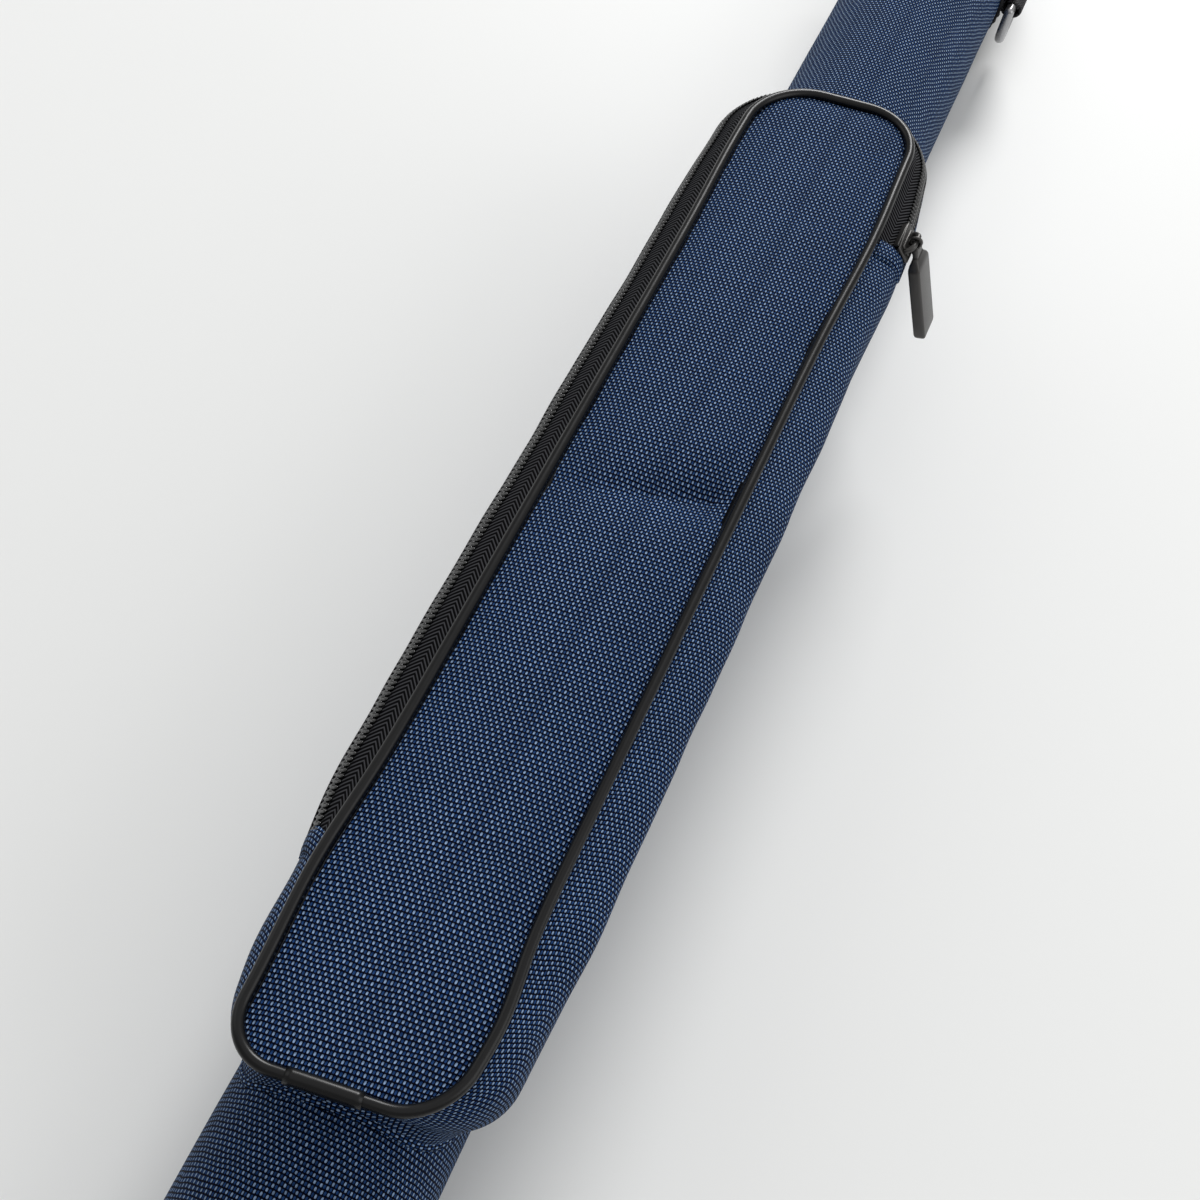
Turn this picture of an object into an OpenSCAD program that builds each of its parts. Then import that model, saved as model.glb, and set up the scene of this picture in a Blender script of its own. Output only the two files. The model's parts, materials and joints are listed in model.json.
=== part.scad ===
// Fabric-covered rod case: a rigid tube with a hinged, zipped lid at +X,
// a padded base at -X and a long zipped pocket sewn along the top (+Z).
// The axis of the tube is the X axis and the bore's floor is at x = 0.

/* [Tube] */
// Inside radius of the lined bore
bore_r = 25.5; // [24:0.5:27]
// Length of the bore from its floor to the mouth
bore_len = 768; // [740:1:800]
// Thickness of the lining
liner_t = 1; // [0.6:0.1:1.2]
// Wall thickness of the rigid core
core_t = 2; // [1.5:0.1:2.5]
// Thickness of the woven outer cover
cover_t = 1.5; // [1:0.1:1.8]
// Depth of the lid outside, from the mouth
lid_len = 40; // [35:1:60]

/* [Pocket] */
// Where the pocket starts along the tube
pocket_x0 = 216; // [200:1:230]
// Length of the pocket's top panel over its piping
pocket_len = 366; // [340:1:380]
// Half the width between the centre lines of the piping
panel_hw = 27.5; // [25:0.5:29]
// Height of the piping's centre above the axis
panel_z = 51.3; // [48:0.1:56]
// Radius of the piping bead
piping_r = 1.7; // [1.4:0.1:2]
// Half the width of the pocket where its sides bulge most
bulge_hw = 39.5; // [37:0.5:41]
// Height of the zip's meeting line above the axis
chain_z = 42.9; // [41:0.1:44]

/* [Slider and pull] */
// Where the closed slider is parked along the tube
slider_x = 537; // [537:1:538]
// Length of the metal pull below its pivot
pull_len = 38; // [30:1:40]
// Width of the metal pull
pull_w = 11; // [8:0.5:12]
// Angle at which the pull leans out from the side
pull_lean = 21; // [20:1:30]

/* [Bands and rings] */
// Width of the webbing bands
band_w = 25; // [20:1:30]
// Distance from the pocket's ends to the bands
band_gap = 147; // [120:1:150]
// Wire radius of the D-rings
ring_wire_r = 2; // [1.5:0.1:2.2]
// Inside width of the D-rings
ring_in_w = 24; // [22:1:28]

/* [Hidden] */
$fn = 96;
eps = 0.01;
gap = 0.4;

navy = [0.10, 0.17, 0.31];
black = [0.04, 0.04, 0.05];
gunmetal = [0.22, 0.22, 0.24];
steel = [0.35, 0.35, 0.37];

// Radii of the tube's layers
core_in_r = bore_r + liner_t;
core_r = core_in_r + core_t;
tube_r = core_r + cover_t;
tape_r = core_r + 1;
coil_r = tape_r + 1.6;
// Ends of the tube, its base and its lid
base_x = -8;
pad_t = 5;
end_t = 3.2;
rim_t = 2;
zip_w = 10;
lid_x0 = bore_len + gap;
lid_x1 = bore_len + lid_len;
end_bead_r = 1.8;
end_bead_ring_r = tube_r - 0.4;
// The bands and end beads are pressed flat where the case rests
rest_z = 31;
band_r = tube_r + 1.4;
base_band_x = pocket_x0 - band_gap - band_w;
lid_band_x = pocket_x0 + pocket_len + band_gap;

// ---- shared shapes ----

// A straight ring or disc along X
module x_ring(x0, x1, r_out, r_in = 0) {
  translate([x0, 0, 0]) rotate([0, 90, 0]) difference() {
    cylinder(h = x1 - x0, r = r_out);
    if (r_in > 0) translate([0, 0, -1]) cylinder(h = x1 - x0 + 2, r = r_in);
  }
}

// A wedge about X, from angle a0 to a1, measured from +Y towards +Z
module x_sector(x0, x1, a0, a1, r = 60) {
  steps = ceil((a1 - a0) / 60);
  da = (a1 - a0) / steps;
  translate([x0, 0, 0]) rotate([90, 0, 90]) linear_extrude(x1 - x0)
    polygon(concat([[0, 0]],
      [for (i = [0:steps]) [r * cos(a0 + i * da), r * sin(a0 + i * da)]]));
}

// A round bead that runs round the end of a cylinder, pressed flat below
module end_bead(x, flat_x, side) {
  difference() {
    translate([x, 0, 0]) rotate([0, 90, 0]) rotate_extrude()
      translate([end_bead_ring_r, 0]) circle(r = end_bead_r, $fn = 24);
    translate([x - 10, -50, -rest_z - 20]) cube([20, 100, 20]);
    translate([side > 0 ? flat_x : flat_x - 10, -50, -50]) cube([10, 100, 100]);
  }
}

// Rounded plan outline of the pocket, with its own radius at each end
module plan(x0, x1, hw, r0, r1) {
  translate([x0 + r0, -hw]) square([x1 - x0 - r0 - r1, 2 * hw]);
  translate([x0, -hw + r0]) square([r0 + 1, 2 * (hw - r0)]);
  translate([x1 - r1 - 1, -hw + r1]) square([r1 + 1, 2 * (hw - r1)]);
  for (s = [-1, 1]) {
    translate([x0 + r0, s * (hw - r0)]) circle(r = r0, $fn = 32);
    translate([x1 - r1, s * (hw - r1)]) circle(r = r1, $fn = 32);
  }
}

// Half the width of the pocket at the zip's meeting line
chain_hw = bulge_hw - 3;

// Heights of the pocket's outline: [z, half-width, near end, far end, near radius, far radius]
form_rows = [
  [10, 28.6, 3, -3, 15, 15],
  [22, bulge_hw - 3, 1.5, 4, 19, 24],
  [34, bulge_hw, 0.5, 9, 20, 28],
  [chain_z, chain_hw, 0.5, 9, 20, 28],
  [50, panel_hw + 0.5, 0, 1, 14, 20]
];

// Outer form of the pocket, drawn in by the given amount
module pocket_form(inset) {
  hull() for (row = form_rows)
    translate([0, 0, row[0]]) linear_extrude(eps)
      plan(pocket_x0 + row[2] + inset, pocket_x0 + pocket_len + row[3] - inset,
        row[1] - inset, row[4] - inset, row[5] - inset);
}

wall_t = 1.4;
wall_top = 49;
tape_z0 = 34;
zip_left_x = pocket_x0 + 66;
zip_right_x = pocket_x0 + 314.4;
tab_len = 6.4;
flap_x = pocket_x0 + 84;
flap_y = -20;

// The soft wall of the pocket between two heights
module wall(z0, z1) {
  intersection() {
    difference() {
      pocket_form(0);
      union() {
        pocket_form(wall_t);
        translate([pocket_x0 - 20, -26, 0]) cube([30, 52, 9]);
      }
      x_ring(pocket_x0 - 20, pocket_x0 + pocket_len + 40, tube_r + 0.1);
    }
    translate([pocket_x0 - 20, -60, z0]) cube([pocket_len + 60, 120, z1 - z0]);
  }
}

// Everything on the zip's run, drawn in at its two ends
module zip_zone(back = 0) {
  far = pocket_x0 + pocket_len + 40;
  translate([0, 0, tape_z0]) linear_extrude(30) {
    translate([zip_left_x + back, 0]) square([far - zip_left_x - back, 60]);
    translate([zip_right_x + back, -60]) square([far - zip_right_x - back, 60 + eps]);
  }
}

// The part of the zip's run that lifts with the flap, drawn in by the clearance
module flap_zone(clear = 0) {
  translate([flap_x + clear, flap_y + clear, 30]) cube([400, 100, 30]);
}

// A rib along the edge of the zip, standing the given amount out of the wall
module coil_ring(z0, z1, proud) {
  difference() {
    translate([0, 0, z0]) linear_extrude(z1 - z0)
      plan(pocket_x0 - 1, pocket_x0 + pocket_len + 9 + proud, chain_hw + proud, 21, 28.6);
    pocket_form(0);
  }
}

module upper_rib() {
  coil_ring(chain_z + gap / 2, chain_z + 1.5, 0.6);
}

module lower_rib() {
  coil_ring(chain_z - 1.7, chain_z - gap / 2, 1.2);
}

// A straight bead along X, and a quarter bend of the same bead
module bead_x(x0, x1, y, r = piping_r) {
  translate([x0, y, panel_z]) rotate([0, 90, 0]) cylinder(h = x1 - x0, r = r, $fn = 32);
}
module bead_y(x, y0, y1, r = piping_r) {
  translate([x, y0, panel_z]) rotate([-90, 0, 0]) cylinder(h = y1 - y0, r = r, $fn = 32);
}
module bead_bend(x, y, bend_r, a0) {
  translate([x, y, panel_z]) rotate([0, 0, a0]) rotate_extrude(angle = 90)
    translate([bend_r, 0]) circle(r = piping_r, $fn = 32);
}

// ---- tube ----

module tube_core() {
  color("dimgray") x_ring(base_x, bore_len - rim_t, core_r, core_in_r);
}

module tube_liner() {
  color("slategray") x_ring(0, bore_len, core_in_r, bore_r);
}

module tube_cover() {
  color(navy) x_ring(base_x, bore_len - zip_w, tube_r, core_r);
}

module mouth_rim() {
  color(black) x_ring(bore_len - rim_t, bore_len, core_r, core_in_r);
}

module base_plug() {
  color("dimgray") x_ring(base_x, -pad_t, core_in_r);
}

module base_pad() {
  color("gray") x_ring(-pad_t, 0, core_in_r);
}

module base_end_cover() {
  color(navy) x_ring(base_x - end_t, base_x, end_bead_ring_r - end_bead_r);
}

module base_piping() {
  color(black) end_bead(base_x - end_bead_r, base_x - end_t, -1);
}

// ---- lid ----

hinge_half_a = 30;
hinge_a = 90;
park_a = 52;

module lid_shell() {
  color("dimgray") x_ring(lid_x0, lid_x1, core_r, core_in_r);
}

module lid_end_plug() {
  color("dimgray") x_ring(lid_x1 - 3, lid_x1, core_in_r);
}

module lid_pad() {
  color("gray") x_ring(lid_x1 - 3 - pad_t, lid_x1 - 3, core_in_r);
}

module lid_cover() {
  color(navy) x_ring(bore_len + zip_w, lid_x1, tube_r, core_r);
}

module lid_end_cover() {
  color(navy) x_ring(lid_x1, lid_x1 + end_t, end_bead_ring_r - end_bead_r);
}

module lid_piping() {
  color(black) end_bead(lid_x1 + end_bead_r, lid_x1 + end_t, 1);
}

// Ring stretch that leaves out, or keeps, the hinge's share of the rim
module rim_arc(x0, x1, r_out, r_in, a0, a1) {
  intersection() {
    x_ring(x0, x1, r_out, r_in);
    x_sector(x0 - 1, x1 + 1, a0, a1);
  }
}

hinge_a0 = hinge_a - hinge_half_a;
hinge_a1 = hinge_a + hinge_half_a;

module lid_hinge_tube_side() {
  color(navy) rim_arc(bore_len - zip_w, bore_len, tube_r, core_r, hinge_a0, hinge_a1);
}

module lid_hinge_lid_side() {
  color(navy) rim_arc(lid_x0, bore_len + zip_w, tube_r, core_r, hinge_a0, hinge_a1);
}

module lid_zip_tape_tube() {
  color(black) rim_arc(bore_len - zip_w, bore_len, tape_r, core_r, hinge_a1, hinge_a0 + 360);
}

module lid_zip_tape_lid() {
  color(black) rim_arc(lid_x0, bore_len + zip_w, tape_r, core_r, hinge_a1, hinge_a0 + 360);
}

module lid_zip_coil_tube() {
  color(black) rim_arc(bore_len - 2.6, bore_len, coil_r, tape_r, hinge_a1 + 2, hinge_a0 + 358);
}

// The lid's coil stops short of the parked slider
module lid_zip_coil_lid() {
  color(black)
    rim_arc(lid_x0, bore_len + 2.6, coil_r, tape_r, hinge_a1 + 2, park_a + 360 - 16);
}

slider_half = 6;
lid_slider_r = coil_r + 1.1;
lid_pivot_r = lid_slider_r + 3.4;

// Slider of the lid's zip, with the loop that holds its pull
module lid_slider() {
  color(gunmetal) rotate([park_a, 0, 0]) translate([bore_len, 0, 0]) {
    translate([-5.5, lid_slider_r, -slider_half]) cube([11, 1.3, 2 * slider_half]);
    translate([-5.5, tube_r + 0.4, -slider_half])
      cube([1.2, lid_slider_r - tube_r, 2 * slider_half]);
    for (x = [-5, 3.8]) translate([x, lid_slider_r + 1, -1.2]) cube([1.2, 2.8, 2.4]);
    translate([-5, lid_pivot_r, 0]) rotate([0, 90, 0]) cylinder(h = 10, r = 0.8, $fn = 24);
  }
}

// Pull of the lid's slider, lying along the rim below it
module lid_pull() {
  color(gunmetal) rotate([park_a, 0, 0]) translate([bore_len, lid_pivot_r, 0]) difference() {
    union() {
      translate([-3, 0, 0]) rotate([0, 90, 0]) cylinder(h = 6, r = 1.8, $fn = 24);
      translate([-4, -0.9, -28]) cube([8, 1.8, 26.6]);
      translate([-3, -0.9, -3]) cube([6, 1.8, 3]);
    }
    translate([-5, 0, 0]) rotate([0, 90, 0]) cylinder(h = 10, r = 1.1, $fn = 24);
  }
}

// ---- pocket ----

module pocket_floor() {
  color("slategray") intersection() {
    x_ring(pocket_x0 + 6, pocket_x0 + pocket_len - 6, tube_r + 1, tube_r);
    x_sector(pocket_x0, pocket_x0 + pocket_len, 36, 144);
  }
}

module pocket_gusset() {
  color(navy) difference() {
    wall(10.2, wall_top);
    zip_zone();
  }
}

panel_t = 2;
panel_low = panel_z - 0.9;
panel_in = piping_r + 0.6;
panel_r0 = 14;
panel_r1 = 20;

module panel_sheet() {
  translate([0, 0, panel_low]) linear_extrude(panel_t)
    plan(pocket_x0 + panel_in, pocket_x0 + pocket_len - panel_in,
      panel_hw - panel_in, panel_r0 - panel_in, panel_r1 - panel_in);
}

module pocket_panel_flap() {
  color(navy) intersection() {
    panel_sheet();
    translate([flap_x + gap, -60, 0]) cube([400, 120, 80]);
  }
}

module pocket_panel_fixed() {
  color(navy) intersection() {
    panel_sheet();
    translate([pocket_x0 - 20, -60, 0]) cube([flap_x - pocket_x0 + 20, 120, 80]);
  }
}

module flap_foam() {
  color("gray") translate([0, 0, panel_low - 3]) linear_extrude(2.8)
    plan(flap_x + 6, pocket_x0 + pocket_len - 8, panel_hw - 6, 6, 14);
}

module piping_flap() {
  far = pocket_x0 + pocket_len;
  color(black) {
    bead_x(flap_x + gap, far - panel_r1, panel_hw);
    bead_bend(far - panel_r1, panel_hw - panel_r1, panel_r1, 0);
    bead_y(far, panel_r1 - panel_hw, panel_hw - panel_r1);
    bead_bend(far - panel_r1, panel_r1 - panel_hw, panel_r1, 270);
  }
}

module piping_fixed() {
  near = pocket_x0;
  color(black) {
    bead_x(near + panel_r0, flap_x, panel_hw);
    bead_bend(near + panel_r0, panel_hw - panel_r0, panel_r0, 90);
    bead_y(near, panel_r0 - panel_hw, panel_hw - panel_r0);
    bead_bend(near + panel_r0, panel_r0 - panel_hw, panel_r0, 180);
    bead_x(near + panel_r0, near + pocket_len - panel_r1 - gap, -panel_hw);
  }
}

// Short sleeve over the joint in the piping
module piping_sleeve() {
  color([0.12, 0.12, 0.13]) difference() {
    bead_y(pocket_x0, -8, 10, piping_r + 0.5);
    bead_y(pocket_x0, -9, 11);
  }
}

module zip_tape_lower() {
  color(black) intersection() {
    wall(tape_z0, chain_z - gap / 2);
    zip_zone();
  }
}

module zip_tape_flap() {
  color(black) intersection() {
    wall(chain_z + gap / 2, wall_top);
    flap_zone(gap);
  }
}

module zip_tape_upper_ends() {
  color(black) difference() {
    intersection() {
      wall(chain_z + gap / 2, wall_top);
      zip_zone();
    }
    flap_zone();
  }
}

module zip_coil_lower() {
  color(black) intersection() {
    lower_rib();
    zip_zone(gap);
  }
}

module zip_coil_flap() {
  color(black) intersection() {
    upper_rib();
    flap_zone(gap);
  }
}

module zip_coil_upper_ends() {
  color(black) difference() {
    intersection() {
      upper_rib();
      zip_zone(gap);
    }
    flap_zone();
  }
}

// Folded fabric tab that covers an end of the zip
module end_tab(x, side) {
  color(navy) intersection() {
    difference() {
      translate([0, 0, chain_z - 6]) linear_extrude(12)
        plan(pocket_x0 - 3, pocket_x0 + pocket_len + 11, bulge_hw - 0.3, 22, 30);
      pocket_form(0);
    }
    translate([x, side > 0 ? 0 : -60, 30]) cube([tab_len, 60, 30]);
  }
}

module zip_end_tab_left() {
  end_tab(zip_left_x - tab_len, 1);
}

module zip_end_tab_right() {
  end_tab(zip_right_x - tab_len, -1);
}

slider_tilt = 40;
plate_in = 1.85;
plate_t = 1;
plate_out = plate_in + plate_t;
bar_r = 0.8;
knuckle_r = 1.6;
plate_half = 4;
pivot_out = 5.8;

// The slider's own frame on the zip: X along the zip, -Y out of the fabric
module on_zip() {
  translate([slider_x, -chain_hw, chain_z]) rotate([-slider_tilt, 0, 0]) children();
}

// Slider body: an outer plate with a flange on each side of the coils
module pocket_slider() {
  color(gunmetal) on_zip() {
    translate([-slider_half, -plate_out, -plate_half])
      cube([2 * slider_half, plate_t, 2 * plate_half]);
    for (z = [-plate_half, plate_half - 1]) translate([-slider_half, -plate_out, z])
      cube([2 * slider_half, plate_out - 0.4, 1]);
  }
}

// Loop on the slider that carries the pull
module slider_bail() {
  color(gunmetal) on_zip() {
    for (x = [-5, 3.8])
      translate([x, -pivot_out - 1, -1.2]) cube([1.2, pivot_out + 1 - plate_out, 2.4]);
    translate([-4, -pivot_out, 0]) rotate([0, 90, 0]) cylinder(h = 8, r = bar_r, $fn = 24);
  }
}

module pocket_pull() {
  color(gunmetal) on_zip() translate([0, -pivot_out, 0]) rotate([slider_tilt - pull_lean, 0, 0])
    difference() {
      union() {
        translate([-3, 0, 0]) rotate([0, 90, 0]) cylinder(h = 6, r = knuckle_r, $fn = 24);
        translate([-3, -1, -6]) cube([6, 2, 5]);
        translate([-pull_w / 2, -2.1, -pull_len]) cube([pull_w, 4.2, pull_len - 5.4]);
      }
      translate([-5, 0, 0]) rotate([0, 90, 0]) cylinder(h = 10, r = bar_r + 0.25, $fn = 24);
    }
}

// ---- bands and D-rings ----

module band(x) {
  color(black) difference() {
    x_ring(x, x + band_w, band_r, tube_r);
    translate([x - 1, -50, -rest_z - 20]) cube([band_w + 2, 100, 20]);
  }
}

module base_band() {
  band(base_band_x);
}

module lid_band() {
  band(lid_band_x);
}

ring_z = 2;
ring_leg = 6;
ring_bore_r = ring_wire_r + 0.3;
tab_r = ring_bore_r + 1.2;
ring_y = band_r + tab_r;
ring_arc_r = ring_in_w / 2 + ring_wire_r;

// Webbing loop that holds a D-ring against its band
module ring_tab(x) {
  half = ring_in_w / 2 - 1;
  color(black) difference() {
    union() {
      translate([x - half, -ring_y, ring_z]) rotate([0, 90, 0])
        cylinder(h = 2 * half, r = tab_r, $fn = 48);
      translate([x - half, -ring_y, ring_z]) cube([2 * half, tab_r + 3, 9]);
    }
    translate([x - half - 1, -ring_y, ring_z]) rotate([0, 90, 0])
      cylinder(h = 2 * half + 2, r = ring_bore_r, $fn = 48);
    x_ring(x - half - 1, x + half + 1, band_r);
  }
}

module base_ring_tab() {
  ring_tab(base_band_x + band_w / 2);
}

module lid_ring_tab() {
  ring_tab(lid_band_x + band_w / 2);
}

// D-ring hanging from its straight bar
module d_ring(x) {
  color(steel) translate([x, -ring_y, ring_z]) {
    translate([-ring_arc_r, 0, 0]) rotate([0, 90, 0])
      cylinder(h = 2 * ring_arc_r, r = ring_wire_r, $fn = 48);
    for (s = [-1, 1]) {
      translate([s * ring_arc_r, 0, 0]) sphere(r = ring_wire_r, $fn = 48);
      translate([s * ring_arc_r, 0, -ring_leg]) cylinder(h = ring_leg, r = ring_wire_r, $fn = 48);
    }
    translate([0, 0, -ring_leg]) rotate([90, 0, 0]) rotate([0, 0, 180])
      rotate_extrude(angle = 180) translate([ring_arc_r, 0]) circle(r = ring_wire_r, $fn = 48);
  }
}

module base_d_ring() {
  d_ring(base_band_x + band_w / 2);
}

module lid_d_ring() {
  d_ring(lid_band_x + band_w / 2);
}

tube_core();
tube_liner();
tube_cover();
mouth_rim();
base_plug();
base_pad();
base_end_cover();
base_piping();
lid_shell();
lid_end_plug();
lid_pad();
lid_cover();
lid_end_cover();
lid_piping();
lid_hinge_tube_side();
lid_hinge_lid_side();
lid_zip_tape_tube();
lid_zip_tape_lid();
lid_zip_coil_tube();
lid_zip_coil_lid();
lid_slider();
lid_pull();
pocket_floor();
pocket_gusset();
pocket_panel_flap();
pocket_panel_fixed();
flap_foam();
piping_flap();
piping_fixed();
piping_sleeve();
zip_tape_lower();
zip_tape_flap();
zip_tape_upper_ends();
zip_coil_lower();
zip_coil_flap();
zip_coil_upper_ends();
zip_end_tab_left();
zip_end_tab_right();
pocket_slider();
slider_bail();
pocket_pull();
base_band();
lid_band();
base_ring_tab();
lid_ring_tab();
base_d_ring();
lid_d_ring();
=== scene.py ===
"""Fabric-covered rod case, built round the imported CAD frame."""

import json
import math

import bmesh
import bpy
import numpy as np
from mathutils import Matrix, Vector, noise


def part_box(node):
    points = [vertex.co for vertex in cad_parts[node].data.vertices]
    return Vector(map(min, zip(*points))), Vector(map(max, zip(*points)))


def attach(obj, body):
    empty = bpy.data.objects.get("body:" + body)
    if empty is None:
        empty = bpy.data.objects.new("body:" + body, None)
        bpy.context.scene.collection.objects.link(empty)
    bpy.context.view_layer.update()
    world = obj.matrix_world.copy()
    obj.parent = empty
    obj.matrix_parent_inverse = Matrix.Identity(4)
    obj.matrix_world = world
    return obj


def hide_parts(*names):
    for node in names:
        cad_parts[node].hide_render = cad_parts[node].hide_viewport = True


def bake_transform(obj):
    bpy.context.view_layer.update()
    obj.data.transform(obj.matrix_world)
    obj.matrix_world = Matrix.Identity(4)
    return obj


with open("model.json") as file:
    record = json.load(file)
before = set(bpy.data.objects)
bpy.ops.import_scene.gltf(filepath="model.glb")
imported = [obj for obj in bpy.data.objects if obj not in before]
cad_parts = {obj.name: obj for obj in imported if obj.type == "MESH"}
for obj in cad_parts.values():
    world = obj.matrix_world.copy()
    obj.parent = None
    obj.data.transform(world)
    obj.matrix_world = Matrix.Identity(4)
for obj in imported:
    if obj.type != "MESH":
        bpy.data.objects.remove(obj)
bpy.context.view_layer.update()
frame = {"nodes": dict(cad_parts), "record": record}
MM = 0.001


# ---- sizes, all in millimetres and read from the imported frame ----

def box_mm(node):
    """Lowest and highest corner of a CAD node, in millimetres."""
    low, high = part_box(node)
    return np.array(low) / MM, np.array(high) / MM


def joint_mm(name):
    """Where a joint's axis is, in millimetres."""
    for joint in frame["record"]["behaviour"]["joints"]:
        if joint["name"] == name:
            return np.array(joint["pos_m"]) / MM
    raise KeyError(name)


cover_low, cover_high = box_mm("tube_cover")
pipe_low, pipe_high = box_mm("piping_fixed")
wall_high = box_mm("pocket_gusset")[1]
coil_high = box_mm("zip_coil_lower")[1]

TUBE_R = cover_high[2]
TUBE_X0 = cover_low[0]
TUBE_X1 = cover_high[0]
PIPE_R = (pipe_high[2] - pipe_low[2]) / 2
PANEL_Z = (pipe_high[2] + pipe_low[2]) / 2
PANEL_HW = pipe_high[1] - PIPE_R
POCKET_X0 = pipe_low[0] + PIPE_R
POCKET_X1 = box_mm("piping_flap")[1][0] - PIPE_R
BULGE_HW = wall_high[1]
WALL_X1 = wall_high[0]
CHAIN_Z = coil_high[2] + 0.2
TAB_LEFT_X = box_mm("zip_end_tab_left")[1][0]
TAB_RIGHT_X = box_mm("zip_end_tab_right")[0][0]
TAB_W = TAB_LEFT_X - box_mm("zip_end_tab_left")[0][0]
REST_Z = box_mm("base_band")[0][2]
BAND_R = box_mm("base_band")[1][2]
MOUTH_X = box_mm("mouth_rim")[1][0]
LID_X1 = box_mm("lid_cover")[1][0]
LID_TUBE_X = box_mm("lid_cover")[0][0]
# Length of one turn of a size 5 nylon coil
ZIP_PITCH = 1.74


# ---- materials ----

class Paint:
    """A node material with short names for the nodes it uses."""

    def __init__(self, name, roughness=0.6, metallic=0.0, **sockets):
        self.material = bpy.data.materials.new(name)
        self.material.use_nodes = True
        self.tree = self.material.node_tree
        self.shader = self.tree.nodes["Principled BSDF"]
        self.shader.inputs["Roughness"].default_value = roughness
        self.shader.inputs["Metallic"].default_value = metallic
        for socket, value in sockets.items():
            self.shader.inputs[socket.replace("_", " ")].default_value = value

    def link(self, value, socket):
        """Puts a number, a colour or another node's output into a socket."""
        if isinstance(value, bpy.types.NodeSocket):
            self.tree.links.new(value, socket)
        else:
            socket.default_value = value

    def math(self, operation, *values):
        """The result of a Math node."""
        node = self.tree.nodes.new("ShaderNodeMath")
        node.operation = operation
        for value, socket in zip(values, node.inputs):
            self.link(value, socket)
        return node.outputs[0]

    def ramp(self, value, low, high):
        """0 below low, 1 above high and smooth between them."""
        node = self.tree.nodes.new("ShaderNodeMapRange")
        node.interpolation_type = "SMOOTHSTEP"
        self.link(value, node.inputs["Value"])
        node.inputs["From Min"].default_value = low
        node.inputs["From Max"].default_value = high
        return node.outputs["Result"]

    def mix(self, factor, a, b):
        """Colour a where the factor is 0, b where it is 1."""
        node = self.tree.nodes.new("ShaderNodeMix")
        node.data_type = "RGBA"
        self.link(factor, node.inputs["Factor"])
        self.link(a, node.inputs["A"])
        self.link(b, node.inputs["B"])
        return node.outputs["Result"]

    def coordinate(self, kind):
        """Texture coordinates in millimetres."""
        node = self.tree.nodes.new("ShaderNodeTexCoord")
        scale = self.tree.nodes.new("ShaderNodeVectorMath")
        scale.operation = "SCALE"
        scale.inputs["Scale"].default_value = 1 / MM
        self.tree.links.new(node.outputs[kind], scale.inputs[0])
        return scale.outputs[0]

    def split(self, vector):
        """The first two parts of a vector."""
        node = self.tree.nodes.new("ShaderNodeSeparateXYZ")
        self.tree.links.new(vector, node.inputs[0])
        return node.outputs[0], node.outputs[1]

    def noise(self, vector, size, detail=2.0):
        """Soft noise whose blobs are about size millimetres."""
        node = self.tree.nodes.new("ShaderNodeTexNoise")
        node.inputs["Scale"].default_value = 1 / size
        node.inputs["Detail"].default_value = detail
        self.tree.links.new(vector, node.inputs["Vector"])
        return node.outputs["Fac"]

    def grain(self, vector, scale):
        """Noise stretched by a scale on each axis, for brushed or drawn finishes."""
        node = self.tree.nodes.new("ShaderNodeVectorMath")
        node.operation = "MULTIPLY"
        self.tree.links.new(vector, node.inputs[0])
        node.inputs[1].default_value = scale
        return self.noise(node.outputs[0], 1.0)

    def yarn(self, value):
        """A random number for each whole step of value."""
        node = self.tree.nodes.new("ShaderNodeTexWhiteNoise")
        node.noise_dimensions = "1D"
        self.link(self.math("FLOOR", value), node.inputs["W"])
        return node.outputs["Value"]

    def colour(self, value):
        self.link(value, self.shader.inputs["Base Color"])

    def rough(self, value):
        self.link(value, self.shader.inputs["Roughness"])

    def bump(self, height, distance):
        """Surface relief: height 0 to 1 stands for distance in millimetres."""
        node = self.tree.nodes.new("ShaderNodeBump")
        node.inputs["Strength"].default_value = 1.0
        node.inputs["Distance"].default_value = distance * MM
        self.link(height, node.inputs["Height"])
        self.link(node.outputs[0], self.shader.inputs["Normal"])


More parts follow.
